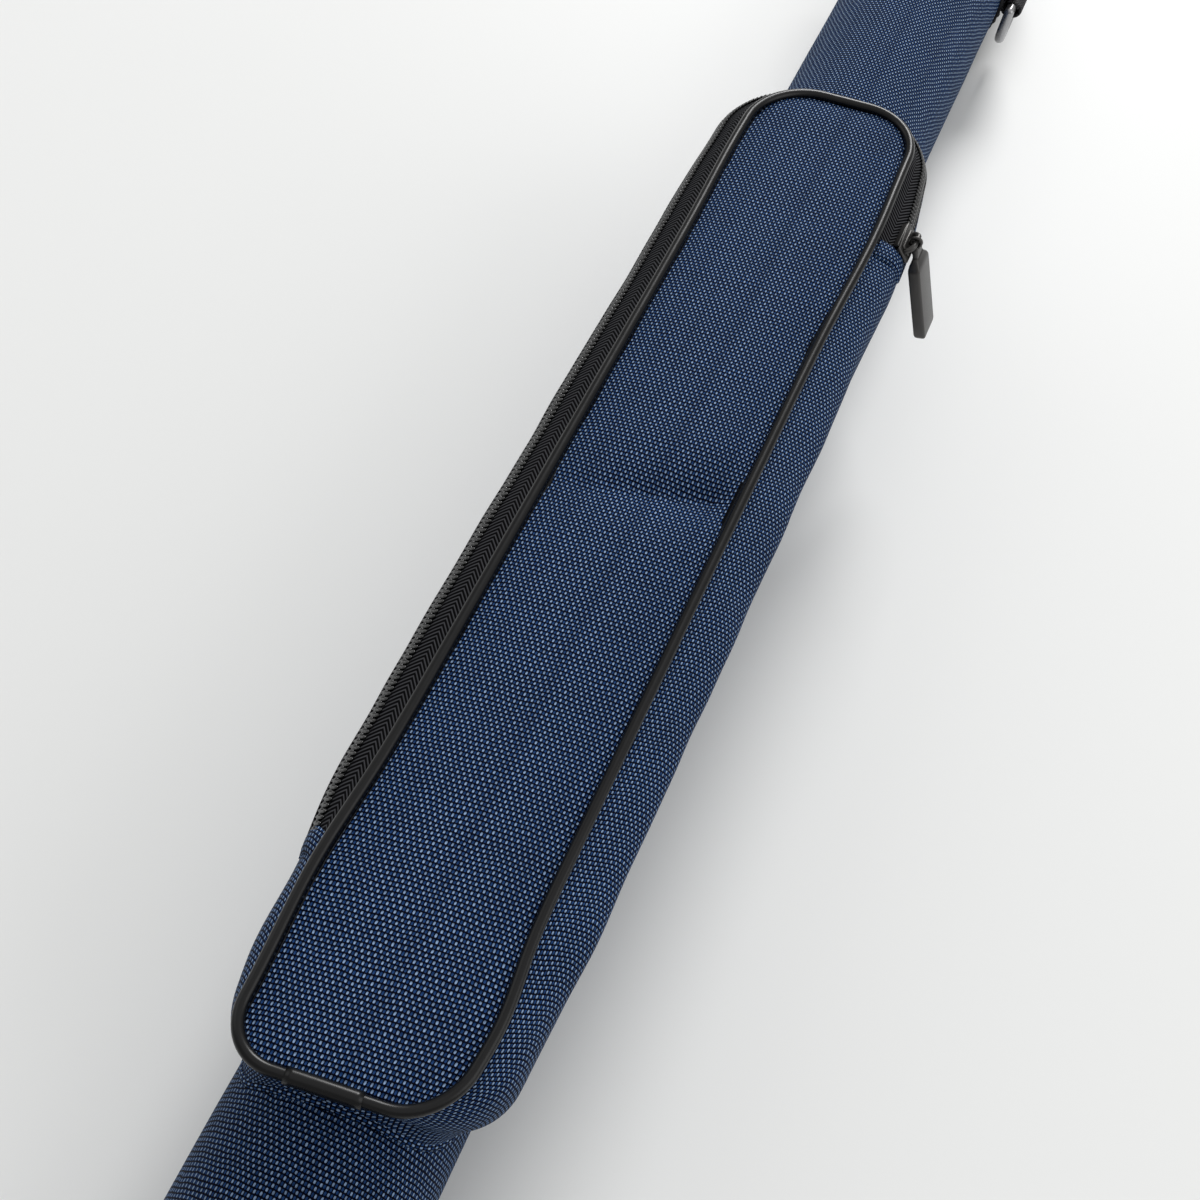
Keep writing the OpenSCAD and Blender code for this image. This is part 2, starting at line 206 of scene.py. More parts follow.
def weave(name, pitch_u, pitch_v, light, middle, dark, relief=0.28):
    """Plain weave from the UVs, which are real lengths along and across the cloth, with painted highlight
    on its top floats and painted shade in the gaps between yarns.
    """
    paint = Paint(name, Specular_IOR_Level=0.04)
    where = paint.coordinate("UV")
    u, v = paint.split(where)
    drift = paint.noise(where, 9.0)
    u = paint.math("ADD", u, paint.math("MULTIPLY", drift, 1.6))
    v = paint.math("ADD", v, paint.math("MULTIPLY", paint.noise(where, 14.0), 1.3))
    u = paint.math("DIVIDE", u, pitch_u)
    v = paint.math("DIVIDE", v, pitch_v)
    wave_u = paint.math("SINE", paint.math("MULTIPLY", u, math.pi))
    wave_v = paint.math("SINE", paint.math("MULTIPLY", v, math.pi))
    cross = paint.math("MULTIPLY", wave_u, wave_v)
    # The top floats take the light colour, the navy yarn brightened by painted highlight; where the
    # weave's wave is near zero, between the yarns, the dark colour is painted shade.
    over = paint.ramp(cross, 0.26, 0.72)
    under = paint.ramp(paint.math("MULTIPLY", cross, -1.0), 0.22, 0.62)
    # tone: painted highlight on the top floats, varied at random from yarn to yarn
    tone = paint.math("MULTIPLY", over, paint.math("MULTIPLY_ADD", paint.yarn(v), 0.4, 0.7))
    under_float_vs_gap_shade = paint.math("MULTIPLY", under, paint.math("MULTIPLY_ADD", paint.yarn(u), 0.3, 0.75))
    # Painted shade in the gaps between yarns, lifted to the middle navy on the under floats
    colour = paint.mix(under_float_vs_gap_shade, dark, middle)
    colour = paint.mix(paint.math("MINIMUM", tone, 1.0), colour, light)
    cloud = paint.noise(where, 30.0, 3.0)
    shade = paint.math("MULTIPLY_ADD", cloud, 0.5, 0.75)
    paint.colour(paint.mix(shade, (0, 0, 0, 1), colour))
    fuzz = paint.noise(where, 0.35, 2.0)
    height = paint.math("ABSOLUTE", cross)
    paint.bump(paint.math("MULTIPLY_ADD", fuzz, 0.25, height), relief)
    paint.rough(paint.math("MULTIPLY_ADD", fuzz, 0.2, 0.5))
    return paint.material


def herringbone(name):
    """Black zip tape: a chevron whose point runs along the tape."""
    paint = Paint(name, roughness=0.55, Specular_IOR_Level=0.03)
    u, v = paint.split(paint.coordinate("UV"))
    arm = paint.math("ABSOLUTE", v)
    slant = paint.math("MULTIPLY_ADD", arm, 0.9, u)
    stripe = paint.math("SINE", paint.math("MULTIPLY", slant, 2 * math.pi / 1.5))
    lit = paint.ramp(stripe, -0.3, 0.95)
    paint.colour(paint.mix(lit, (0.0005, 0.0005, 0.001, 1), (0.05, 0.051, 0.056, 1)))
    paint.bump(lit, 0.2)
    return paint.material


def webbing(name):
    """Black webbing with ribs across its length, from real-length UVs."""
    paint = Paint(name, roughness=0.6, Specular_IOR_Level=0.2)
    u, v = paint.split(paint.coordinate("UV"))
    rib = paint.math("SINE", paint.math("MULTIPLY", u, 2 * math.pi / 1.5))
    row = paint.math("SINE", paint.math("MULTIPLY", v, 2 * math.pi / 1.2))
    height = paint.math("MULTIPLY", rib, row)
    lit = paint.ramp(height, -0.8, 0.9)
    paint.colour(paint.mix(lit, (0.005, 0.005, 0.006, 1), (0.032, 0.033, 0.037, 1)))
    paint.bump(lit, 0.3)
    return paint.material


def plain(name, colour, roughness, size=3.0, relief=0.05, vary=0.15, metallic=0.0, **more):
    """A moulded, cast or drawn surface with faint mottling and fine relief."""
    paint = Paint(name, roughness=roughness, metallic=metallic, **more)
    where = paint.coordinate("Object")
    spots = paint.noise(where, size, 3.0)
    dark = tuple(c * (1 - vary) for c in colour[:3]) + (1,)
    bright = tuple(min(1, c * (1 + vary)) for c in colour[:3]) + (1,)
    paint.colour(paint.mix(spots, dark, bright))
    paint.rough(paint.math("MULTIPLY_ADD", spots, roughness * 0.3, roughness * 0.85))
    paint.bump(spots, relief)
    return paint.material


def brushed(name, colour, roughness):
    """Plated metal with a fine grain along its length."""
    paint = Paint(name, roughness=roughness, metallic=0.85)
    where = paint.coordinate("Object")
    streak = paint.grain(where, (5.0, 5.0, 0.4))
    worn = paint.noise(where, 6.0)
    dark = tuple(c * 0.75 for c in colour[:3]) + (1,)
    tone = paint.math("MULTIPLY_ADD", worn, 0.5, paint.math("MULTIPLY", streak, 0.5))
    paint.colour(paint.mix(tone, dark, colour))
    paint.rough(paint.math("MULTIPLY_ADD", streak, 0.18, roughness - 0.09))
    paint.bump(streak, 0.015)
    return paint.material


# Navy cloth: light is the yarn with painted highlight, dark is painted shade between the yarns
NAVY = weave(
    "navy_weave", 1.28, 0.82,
    light=(0.23, 0.335, 0.515, 1), middle=(0.012, 0.045, 0.15, 1), dark=(0.0, 0.0002, 0.006, 1),
)
# Lining: the same painted highlight on its floats and painted shade in its gaps
LINING = weave(
    "lining", 0.5, 0.5,
    light=(0.10, 0.11, 0.13, 1), middle=(0.06, 0.065, 0.08, 1), dark=(0.02, 0.022, 0.03, 1),
    relief=0.1,
)
TAPE = herringbone("black_tape")
WEBBING = webbing("black_webbing")
PIPING = plain("black_piping", (0.002, 0.002, 0.0025), 0.3, size=2.5, relief=0.012, Specular_IOR_Level=0.3)
COIL = plain("black_coil", (0.004, 0.004, 0.0045), 0.24, size=1.0, relief=0.01, Specular_IOR_Level=0.9)
THREAD = plain("navy_thread", (0.03, 0.05, 0.09), 0.55, size=0.5)
BLACK_THREAD = plain("black_thread", (0.02, 0.02, 0.022), 0.5, size=0.5)
GUNMETAL = brushed("gunmetal", (0.085, 0.082, 0.08, 1), 0.36)
STEEL = brushed("ring_steel", (0.42, 0.42, 0.43, 1), 0.28)
CORE = plain("core_plastic", (0.045, 0.046, 0.05), 0.45, size=4.0)
FOAM = plain("foam", (0.12, 0.125, 0.135), 0.85, size=0.8, relief=0.4, vary=0.3)


# ---- mesh building ----

def make_object(name, verts, faces, uvs, material, sharp=None):
    """A mesh object from corners in millimetres, quads and one UV per quad corner, in metres."""
    mesh = bpy.data.meshes.new(name)
    mesh.from_pydata((np.asarray(verts) * MM).tolist(), [], np.asarray(faces).tolist())
    layer = mesh.uv_layers.new(name="UVMap")
    layer.data.foreach_set("uv", np.asarray(uvs, float).reshape(-1) * MM)
    mesh.polygons.foreach_set("use_smooth", [True] * len(mesh.polygons))
    mesh.materials.append(material)
    mesh.validate()
    mesh.update()
    if sharp is not None:
        mesh.set_sharp_from_angle(angle=math.radians(sharp))
    piece = bpy.data.objects.new(name, mesh)
    bpy.context.scene.collection.objects.link(piece)
    return piece


def quads(rows, columns, wrap_rows=False, wrap_columns=False, keep=None):
    """Quads of a grid, and the matching UV places; keep says which quads are made."""
    row_n = rows if wrap_rows else rows - 1
    column_n = columns if wrap_columns else columns - 1
    r, c = np.meshgrid(np.arange(row_n), np.arange(column_n), indexing="ij")
    if keep is not None:
        chosen = keep[:row_n, :column_n]
        r, c = r[chosen], c[chosen]
    r, c = r.ravel(), c.ravel()
    corners = [(r, c), (r, c + 1), (r + 1, c + 1), (r + 1, c)]
    faces = np.stack([(a % rows) * columns + (b % columns) for a, b in corners], 1)
    places = np.stack([np.stack(pair, 1) for pair in corners], 1)
    return faces, places


def unit(vectors):
    """Rows of vectors scaled to length 1."""
    return vectors / np.linalg.norm(vectors, axis=1, keepdims=True)


def at_lengths(at, run, values):
    """Rows of values read off at given lengths; run is the length at each row."""
    return np.stack([np.interp(at, run, values[:, k]) for k in range(3)], 1)


def normals_of(points, wrap=False):
    """Unit normals of a grid of points; wrap joins its last column to its first."""
    if wrap:
        across = np.roll(points, -1, 1) - np.roll(points, 1, 1)
    else:
        across = np.gradient(points, axis=1)
    normal = np.cross(across, np.gradient(points, axis=0))
    length = np.linalg.norm(normal, axis=2, keepdims=True)
    return normal / np.maximum(length, 1e-9)


def surface(name, points, uv, material):
    """A grid of points as a surface that closes on itself; uv has one column more."""
    rows, columns = points.shape[:2]
    faces, places = quads(rows, columns, False, True)
    uvs = uv[places[..., 0], places[..., 1]]
    return make_object(name, points.reshape(-1, 3), faces, uvs, material)


def shell(name, points, uv, thickness, material, wrap_columns=False, keep=None, flip=1.0):
    """Cloth of a real thickness: the outer grid, an inner one behind it, and its cut edges."""
    rows, columns = points.shape[:2]
    faces, places = quads(rows, columns, False, wrap_columns, keep)
    normal = normals_of(points, wrap_columns) * flip
    outer = points.reshape(-1, 3)
    inner = outer - normal.reshape(-1, 3) * thickness
    uvs = uv[places[..., 0], places[..., 1]]
    count = len(outer)
    edges = {}
    for quad, uv_quad in zip(faces.tolist(), uvs):
        for k in range(4):
            a, b = quad[k], quad[(k + 1) % 4]
            if edges.pop((b, a), None) is None:
                edges[(a, b)] = (uv_quad[k], uv_quad[(k + 1) % 4])
    rim = [[b, a, a + count, b + count] for a, b in edges]
    rim_uv = [[q, p, p, q] for p, q in edges.values()]
    all_faces = np.concatenate([faces, faces[:, ::-1] + count, np.array(rim)])
    all_uvs = np.concatenate([uvs, uvs[:, ::-1], np.array(rim_uv)])
    used, index = np.unique(all_faces, return_inverse=True)
    verts = np.concatenate([outer, inner])[used]
    return make_object(name, verts, index.reshape(all_faces.shape), all_uvs, material)


def lengths(points, closed=False):
    """Running length along a line of points."""
    step = np.linalg.norm(np.diff(points, axis=0), axis=1)
    run = np.concatenate([[0], np.cumsum(step)])
    if closed:
        run = np.append(run, run[-1] + np.linalg.norm(points[0] - points[-1]))
    return run


def sweep(name, path, side, up, profile, material, closed=False):
    """A closed profile carried along a path. side and up are the profile's two directions."""
    path, side, up = (np.asarray(a, float) for a in (path, side, up))
    profile = np.asarray(profile, float)
    points = path[:, None] + side[:, None] * profile[None, :, :1] + up[:, None] * profile[None, :, 1:]
    run = lengths(path, closed)
    round_run = lengths(profile, True)
    uv = np.stack(np.meshgrid(run, round_run, indexing="ij"), 2)
    rows, columns = points.shape[:2]
    faces, places = quads(rows, columns, closed, True)
    uvs = uv[places[..., 0], places[..., 1]]
    piece = make_object(name, points.reshape(-1, 3), faces, uvs, material)
    if not closed:
        cap_ends(piece)
    return piece


def cap_ends(piece):
    """Closes the open ends of a piece."""
    bm = bmesh.new()
    bm.from_mesh(piece.data)
    edges = [e for e in bm.edges if e.is_boundary]
    bmesh.ops.holes_fill(bm, edges=edges, sides=0)
    bmesh.ops.recalc_face_normals(bm, faces=bm.faces[:])
    bm.to_mesh(piece.data)
    bm.free()


def circle(radius, count=16):
    """A round profile."""
    turn = np.linspace(0, 2 * math.pi, count, endpoint=False)
    return np.stack([radius * np.cos(turn), radius * np.sin(turn)], 1)


def join(name, pieces):
    """Several mesh objects as one."""
    bm = bmesh.new()
    slots = []
    for piece in pieces:
        material = piece.data.materials[0]
        if material not in slots:
            slots.append(material)
        start = len(bm.faces)
        bm.from_mesh(piece.data)
        bm.faces.ensure_lookup_table()
        for face in bm.faces[start:]:
            face.material_index = slots.index(material)
        bpy.data.objects.remove(piece)
    mesh = bpy.data.meshes.new(name)
    bm.to_mesh(mesh)
    bm.free()
    for material in slots:
        mesh.materials.append(material)
    whole = bpy.data.objects.new(name, mesh)
    bpy.context.scene.collection.objects.link(whole)
    return whole


def block(name, size, centre, radius, material, segments=3, turn=None, taper=None):
    """A box with rounded edges, in millimetres; turn is applied about its own origin last."""
    bm = bmesh.new()
    bmesh.ops.create_cube(bm, size=1.0)
    for v in bm.verts:
        v.co = Vector([c * s for c, s in zip(v.co, size)])
        if taper:
            v.co = taper(v.co)
    bmesh.ops.bevel(
        bm, geom=bm.edges[:], offset=radius, segments=segments, profile=0.5, affect="EDGES"
    )
    for v in bm.verts:
        v.co = v.co + Vector(centre)
        if turn is not None:
            v.co = turn @ v.co
        v.co = v.co * MM
    mesh = bpy.data.meshes.new(name)
    bm.to_mesh(mesh)
    bm.free()
    mesh.uv_layers.new(name="UVMap")
    mesh.polygons.foreach_set("use_smooth", [True] * len(mesh.polygons))
    mesh.set_sharp_from_angle(angle=math.radians(50))
    mesh.materials.append(material)
    piece = bpy.data.objects.new(name, mesh)
    bpy.context.scene.collection.objects.link(piece)
    return piece


def tube_along(name, path, radius, material, turn=None, closed=False, count=14):
    """A round wire along a path in millimetres, with a frame carried along it."""
    path = np.asarray(path, float)
    if turn is not None:
        path = np.array([tuple(turn @ Vector(p)) for p in path])
    ahead = np.roll(path, -1, 0) - np.roll(path, 1, 0) if closed else np.gradient(path, axis=0)
    ahead = unit(ahead)
    side = np.zeros_like(path)
    start = np.array([0.0, 0.0, 1.0]) if abs(ahead[0][2]) < 0.9 else np.array([1.0, 0.0, 0.0])
    for i, along in enumerate(ahead):
        start = start - along * (start @ along)
        start = start / np.linalg.norm(start)
        side[i] = start
    return sweep(name, path, side, np.cross(ahead, side), circle(radius, count), material, closed)


def stitches(name, path, normal, material, length=2.6, space=1.0, radius=0.2, lift=0.1):
    """A row of short threads along a path."""
    path, normal = np.asarray(path, float), np.asarray(normal, float)
    run = lengths(path)
    starts = np.arange(space / 2, run[-1] - length, length + space)
    verts, faces, uvs = [], [], []
    steps = np.linspace(0, 1, 5)
    ring = circle(radius, 6)
    for start in starts:
        at = start + steps * length
        spine = at_lengths(at, run, path)
        out = at_lengths(at, run, normal)
        out = unit(out)
        arch = lift * np.sin(steps * math.pi) - radius * (1 - np.sin(steps * math.pi))
        spine = spine + out * arch[:, None]
        side = np.cross(np.gradient(spine, axis=0), out)
        side = unit(side)
        points = spine[:, None] + side[:, None] * ring[None, :, :1] + out[:, None] * ring[None, :, 1:]
        quad, places = quads(5, 6, False, True)
        faces.append(quad + len(verts) * 30)
        verts.append(points.reshape(-1, 3))
        uvs.append(places.astype(float))
    return make_object(name, np.concatenate(verts), np.concatenate(faces), np.concatenate(uvs), material)


def finish_piece(piece, body, slot_name, *nodes):
    """Rides a piece on its body and hides the CAD nodes it stands for. slot_name is not used."""
    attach(piece, body)
    if nodes:
        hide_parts(*nodes)
    return piece


def ripple(points, size, seed=0.0):
    """Smooth noise from -1 to 1 at each point, with folds about size millimetres long."""
    flat = points.reshape(-1, 3) / size
    values = [noise.noise(Vector((x + seed, y, z))) for x, y, z in flat]
    return np.array(values).reshape(points.shape[:-1])


def hump(value, centre, width):
    """A soft bump that is 1 at its centre."""
    return np.exp(-(((value - centre) / width) ** 2))


# ---- the pocket's outline ----

SIDE_N = 168
CORNER_N = 16
END_N = 16
KNOT_ROWS = 16
NEAR_R = 14
FAR_R = 20
SKEW_NEAR = 0.12
SKEW_FAR = 0.165
SEAM_DEG = 72.0


def outline(x0, x1, half, r0, r1):
    """Stations round the pocket: left side, far end, right side, near end, in that order."""
    def line(a, b, count):
        t = np.linspace(0, 1, count, endpoint=False)[:, None]
        return np.array(a) * (1 - t) + np.array(b) * t

    def corner(centre, radius, start):
        turn = np.radians(start - np.linspace(0, 90, CORNER_N, endpoint=False))
        return np.array(centre) + radius * np.stack([np.cos(turn), np.sin(turn)], 1)

    near_in, far_in = half - r0, half - r1
    return np.concatenate([
        line((x0 + r0, half), (x1 - r1, half), SIDE_N),
        corner((x1 - r1, far_in), r1, 90),
        line((x1, far_in), (x1, -far_in), END_N),
        corner((x1 - r1, -far_in), r1, 0),
        line((x1 - r1, -half), (x0 + r0, -half), SIDE_N),
        corner((x0 + r0, -near_in), r0, 270),
        line((x0, -near_in), (x0, near_in), END_N),
        corner((x0 + r0, near_in), r0, 180),
    ])


def settle(points, soft):
    """Gives an outline the slightly skewed, uneven lie of the sewn pocket; soft is 0 to 1."""
    x, y = points[:, 0].copy(), points[:, 1].copy()
    along = np.clip((x - POCKET_X0) / (POCKET_X1 - POCKET_X0), 0, 1)
    edge = np.clip(np.abs(y) / PANEL_HW, 0, 1) ** 2
    right = 2.2 * hump(x, POCKET_X0 + 26, 17) + 1.6 * hump(x, POCKET_X1 - 62, 34)
    left = 1.8 * hump(x, POCKET_X0 + 50, 24) + 0.9 * hump(x, POCKET_X1 - 34, 30)
    out = np.where(y < 0, -right, left) - 0.8 * np.sign(y)
    y = y + soft * edge * out
    x = x - (SKEW_NEAR + (SKEW_FAR - SKEW_NEAR) * along) * y
    return np.stack([x, y], 1)


def draw_in(points, amount):
    """Narrows the wall's outline where the real one is pulled in: near corners and far right."""
    x, y = points[:, 0], points[:, 1].copy()
    left = 1.6 + 3.6 * hump(x, POCKET_X0 + 50, 20) + 6.6 * hump(x, POCKET_X0 + 4, 26)
    left = left + 1.4 * hump(x, POCKET_X1, 45)
    right = 1.8 * hump(x, POCKET_X0 + 22, 28) + 6.0 * hump(x, POCKET_X1 + 4, 36)
    edge = np.clip(np.abs(y) / PANEL_HW, 0, 1)
    y = y - amount * edge * np.where(y > 0, left, -right)
    return np.stack([x, y], 1)


def at_height(points, z):
    """Flat points lifted to one height, or each to its own."""
    z = np.broadcast_to(np.asarray(z, float), len(points))
    return np.column_stack([points, z])


PIPE_LINE = at_height(settle(outline(POCKET_X0, POCKET_X1, PANEL_HW, NEAR_R, FAR_R), 1.0), PANEL_Z)
STATIONS = len(PIPE_LINE)


def base_seam():
    """Where the gusset is sewn to the tube, measured round the tube's surface."""
    half = math.radians(SEAM_DEG) * TUBE_R
    flat = outline(POCKET_X0 + 1.5, POCKET_X1 - 3, half, 17, 19)
    flat = settle(flat * [1, PANEL_HW / half], 0.3)
    turn = flat[:, 1] / PANEL_HW * math.radians(SEAM_DEG)
    radius = TUBE_R + 0.3
    return np.column_stack([flat[:, 0], radius * np.sin(turn), radius * np.cos(turn)])


def wall_rows():
    """The pocket's side wall: rows from the piping down to the seam on the tube."""
    base = base_seam()
    drop = CHAIN_Z - base[:, 2]
    top = settle(outline(POCKET_X0 + 0.2, POCKET_X1 - 0.2, PANEL_HW + 0.3, NEAR_R, FAR_R), 1.0)
    chain = draw_in(outline(POCKET_X0 + 0.5, WALL_X1 - 1, BULGE_HW - 1.7, 18, 26), 0.9)
    belly = draw_in(outline(POCKET_X0 + 2.5, WALL_X1 - 1, BULGE_HW + 0.9, 16, 26), 1.0)
    low = draw_in(outline(POCKET_X0 + 3.2, WALL_X1 - 5, BULGE_HW - 2.2, 16, 24), 0.8)
    chain, belly, low = settle(chain, 0.4), settle(belly, 0.3), settle(low, 0.2)
    chain_height = CHAIN_Z + 0.9 * np.clip(chain[:, 1] / BULGE_HW, 0, 1)
    knots = [
        at_height(top, PANEL_Z - 1.5), at_height(chain, chain_height),
        at_height(belly, base[:, 2] + 0.68 * drop), at_height(low, base[:, 2] + 0.34 * drop), base,
    ]
    knots = [2 * knots[0] - knots[1]] + knots + [2 * knots[-1] - knots[-2]]
    rows = []
    for i in range(1, 5):
        for t in np.linspace(0, 1, KNOT_ROWS, endpoint=i == 4):
            p0, p1, p2, p3 = knots[i - 1:i + 3]
            rows.append(0.5 * (
                2 * p1 + (p2 - p0) * t + (2 * p0 - 5 * p1 + 4 * p2 - p3) * t ** 2
                + (3 * p1 - p0 - 3 * p2 + p3) * t ** 3
            ))
    return np.array(rows)


def resample(rows, marks):
    """Rows at the given lengths down the wall. marks has one list of lengths per station."""
    run = down(rows)
    made = [at_lengths(marks[:, s], run[:, s], rows[:, s]) for s in range(rows.shape[1])]
    return np.stack(made, 1)


def down(rows):
    """Length down the wall to each row, at each station."""
    step = np.linalg.norm(np.diff(rows, axis=0), axis=2)
    return np.concatenate([np.zeros((1, rows.shape[1])), np.cumsum(step, 0)])


# Rows of the wall at the zip's chain and at the tape's lower edge, and how far apart they are
CHAIN_ROW = 12
TAPE_ROW = 22
TAPE_DROP = 8.5
dense = wall_rows()
# Soft folds in the wall, none at its two seams
depth = np.linspace(0, 1, len(dense))[:, None]
soft = np.sin(depth * math.pi) ** 0.7
fold = 0.7 * ripple(dense, 42.0) + 0.35 * ripple(dense, 17.0, 5.0)
ridge = hump(depth, 0.36, 0.09) * np.where(dense[..., 1] < -20, 1.0, 0.35)
ridge = ridge * np.clip((dense[..., 0] - POCKET_X0 - 20) / 40, 0, 1)
ridge = ridge * np.clip((POCKET_X1 - 90 - dense[..., 0]) / 50, 0, 1)
dense = dense + normals_of(dense, True) * (soft * fold + 1.1 * ridge)[..., None]

chain_run = down(dense)[KNOT_ROWS]
end_run = down(dense)[-1]
top_marks = np.linspace(0, 1, CHAIN_ROW + 1)[:, None] * chain_run
tape_marks = chain_run + np.linspace(0, 1, TAPE_ROW - CHAIN_ROW + 1)[:, None] * TAPE_DROP
low_marks = chain_run + TAPE_DROP + np.linspace(0, 1, 25)[1:, None] * (end_run - chain_run - TAPE_DROP)
WALL_MARKS = np.concatenate([top_marks, tape_marks[1:], low_marks])
WALL = resample(dense, WALL_MARKS)
WALL_OUT = normals_of(WALL, True)
centre = WALL.mean(axis=(0, 1))
OUT_SIGN = 1.0 if np.einsum("rci,rci->rc", WALL_OUT, WALL - centre).mean() >= 0 else -1.0
WALL_OUT = OUT_SIGN * WALL_OUT


def wrap_uv(marks, line):
    """UVs of the wall: u is the length round the pocket, v the length down the wall."""
    u = lengths(line, True)
    v = np.concatenate([marks, marks[:, :1]], 1)
    return np.stack([np.broadcast_to(u, v.shape), v], 2)


WALL_UV = wrap_uv(WALL_MARKS, WALL[CHAIN_ROW])

# The sewn left end tab sits a little nearer the base than on the plain CAD wall
TAB_SHIFT = 11.5
# Stations on the zip: from the left end tab, round the far end, to the right end tab
chain_line = WALL[CHAIN_ROW]
number = np.arange(STATIONS)
right_start = SIDE_N + 2 * CORNER_N + END_N
on_left = (number < SIDE_N) & (chain_line[:, 0] > TAB_LEFT_X - TAB_SHIFT)
far_end = (number >= SIDE_N) & (number < right_start)
on_right = (number >= right_start) & (number < right_start + SIDE_N)
on_right &= chain_line[:, 0] > TAB_RIGHT_X + TAB_W
ON_ZIP = on_left | far_end | on_right
ZIP_FIRST = int(np.flatnonzero(ON_ZIP)[0])
ZIP_LAST = int(np.flatnonzero(ON_ZIP)[-1])
FAR_MIDDLE = SIDE_N + CORNER_N + END_N // 2


# ---- the pocket's wall, tape and coil ----

def make_gusset():
    """The woven wall: full height off the zip, and below the tape along it."""
    keep = np.ones((len(WALL) - 1, STATIONS), bool)
    zip_quads = ON_ZIP & np.roll(ON_ZIP, -1)
    keep[:TAPE_ROW, zip_quads] = False
    gusset = shell("pocket_gusset_cloth", WALL, WALL_UV, 1.1, NAVY, True, keep, OUT_SIGN)
    finish_piece(gusset, "case", "navy_weave", "pocket_gusset")
    hem_line = WALL[TAPE_ROW, ZIP_FIRST:ZIP_LAST + 1]
    out = WALL_OUT[TAPE_ROW, ZIP_FIRST:ZIP_LAST + 1]
    below = WALL[TAPE_ROW + 1, ZIP_FIRST:ZIP_LAST + 1] - hem_line
    below = unit(below)
    profile = [(-1.0, 0.05), (0.2, 0.5), (1.3, 0.62), (2.6, 0.5), (3.3, 0.0), (2.4, -0.6), (0.0, -0.6)]
    hem = sweep("gusset_hem", hem_line, below, out, profile, NAVY)
    finish_piece(hem, "case", "navy_weave")
    seam = WALL[-1]
    ahead = np.roll(seam, -1, 0) - np.roll(seam, 1, 0)
    ahead = unit(ahead)
    radial = seam * [0, 1, 1]
    radial = unit(radial)
    side = np.cross(ahead, radial)
    profile = [(-1.6, -0.4), (-1.0, 0.35), (0.0, 0.6), (1.2, 0.4), (1.9, -0.4)]
    foot = sweep("gusset_foot_seam", seam, side, radial, profile, NAVY, closed=True)
    finish_piece(foot, "case", "navy_weave")


def tape_piece(name, first, last, rows, lift, bodies, nodes):
    """A stretch of zip tape between two stations of the wall."""
    part = WALL[rows, first:last + 1] + WALL_OUT[rows, first:last + 1] * lift
    marks = WALL_MARKS[rows, first:last + 1]
    u = lengths(WALL[CHAIN_ROW, first:last + 1])
    apex = marks.mean(axis=0) if rows.start == 0 else marks[0] + 4.0
    uv = np.stack([np.broadcast_to(u, marks.shape), marks - apex], 2)
    tape = shell(name, part, uv, 0.7, TAPE, flip=OUT_SIGN)
    place_on(tape, bodies)
    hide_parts(*nodes)


def place_on(piece, bodies):
    """Rides on one body given by name; given two bodies as (a, b, start, end), it only bakes the piece's
    transform in place.
    """
    if isinstance(bodies, str):
        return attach(piece, bodies)
    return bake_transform(piece)


FLAP_X = box_mm("pocket_panel_flap")[0][0]
# Where cloth would turn from the case to the flap: along the panel, and across it at the far end. place_on
# does not read these places.
PEEL = ("case", "flap", ((FLAP_X - 15) * MM, 0, 0), ((FLAP_X + 45) * MM, 0, 0))
PEEL_RIGHT = ("case", "flap", (0, -31 * MM, 0), (0, -14 * MM, 0))


def coil_teeth(name, spot, across, up, ahead, stations, lift, height, lowest=-1.0, widen=1.0):
    """A nylon coil seen as rounded teeth, one at each spot, that reach across the zip."""
    tooth = []
    for reach, wide, tall in stations:
        for c, s in circle(1.0, 8):
            tooth.append((reach, lift + max(lowest, height * tall * s), wide * c * widen))
    tooth = np.array(tooth)
    verts = spot[:, None] + across[:, None] * tooth[None, :, :1]
    verts = verts + up[:, None] * tooth[None, :, 1:2] + ahead[:, None] * tooth[None, :, 2:]
    quad, places = quads(len(stations), 8, False, True)
    faces = (quad[None] + (np.arange(len(spot)) * len(tooth))[:, None, None]).reshape(-1, 4)
    uvs = np.tile(places.astype(float), (len(spot), 1, 1))
    return make_object(name, verts.reshape(-1, 3), faces, uvs, COIL)


def teeth(name, first, last, side_sign, shift, bodies):
    """One side of the pocket zip's coil."""
    line = WALL[CHAIN_ROW, first:last + 1]
    out = WALL_OUT[CHAIN_ROW, first:last + 1]
    run = lengths(line)
    at = np.arange(shift * ZIP_PITCH + 0.3, run[-1] - 0.3, ZIP_PITCH)
    normal = unit(at_lengths(at, run, out))
    ahead = unit(at_lengths(at, run, np.gradient(line, axis=0)))
    across = np.cross(ahead, normal) * side_sign * OUT_SIGN
    stations = [(-0.75, 0.0, 0.3), (-0.66, 0.5, 0.85), (-0.2, 0.66, 1.15), (0.6, 0.56, 1.1),
                (1.3, 0.5, 0.8), (2.0, 0.5, 0.95), (2.5, 0.42, 0.6), (2.7, 0.0, 0.2)]
    spot = at_lengths(at, run, line)
    coil = coil_teeth(
        name, spot, across, normal, ahead, stations, 0.1, 0.66, lowest=-0.3, widen=1.12
    )
    place_on(coil, bodies)
    return coil


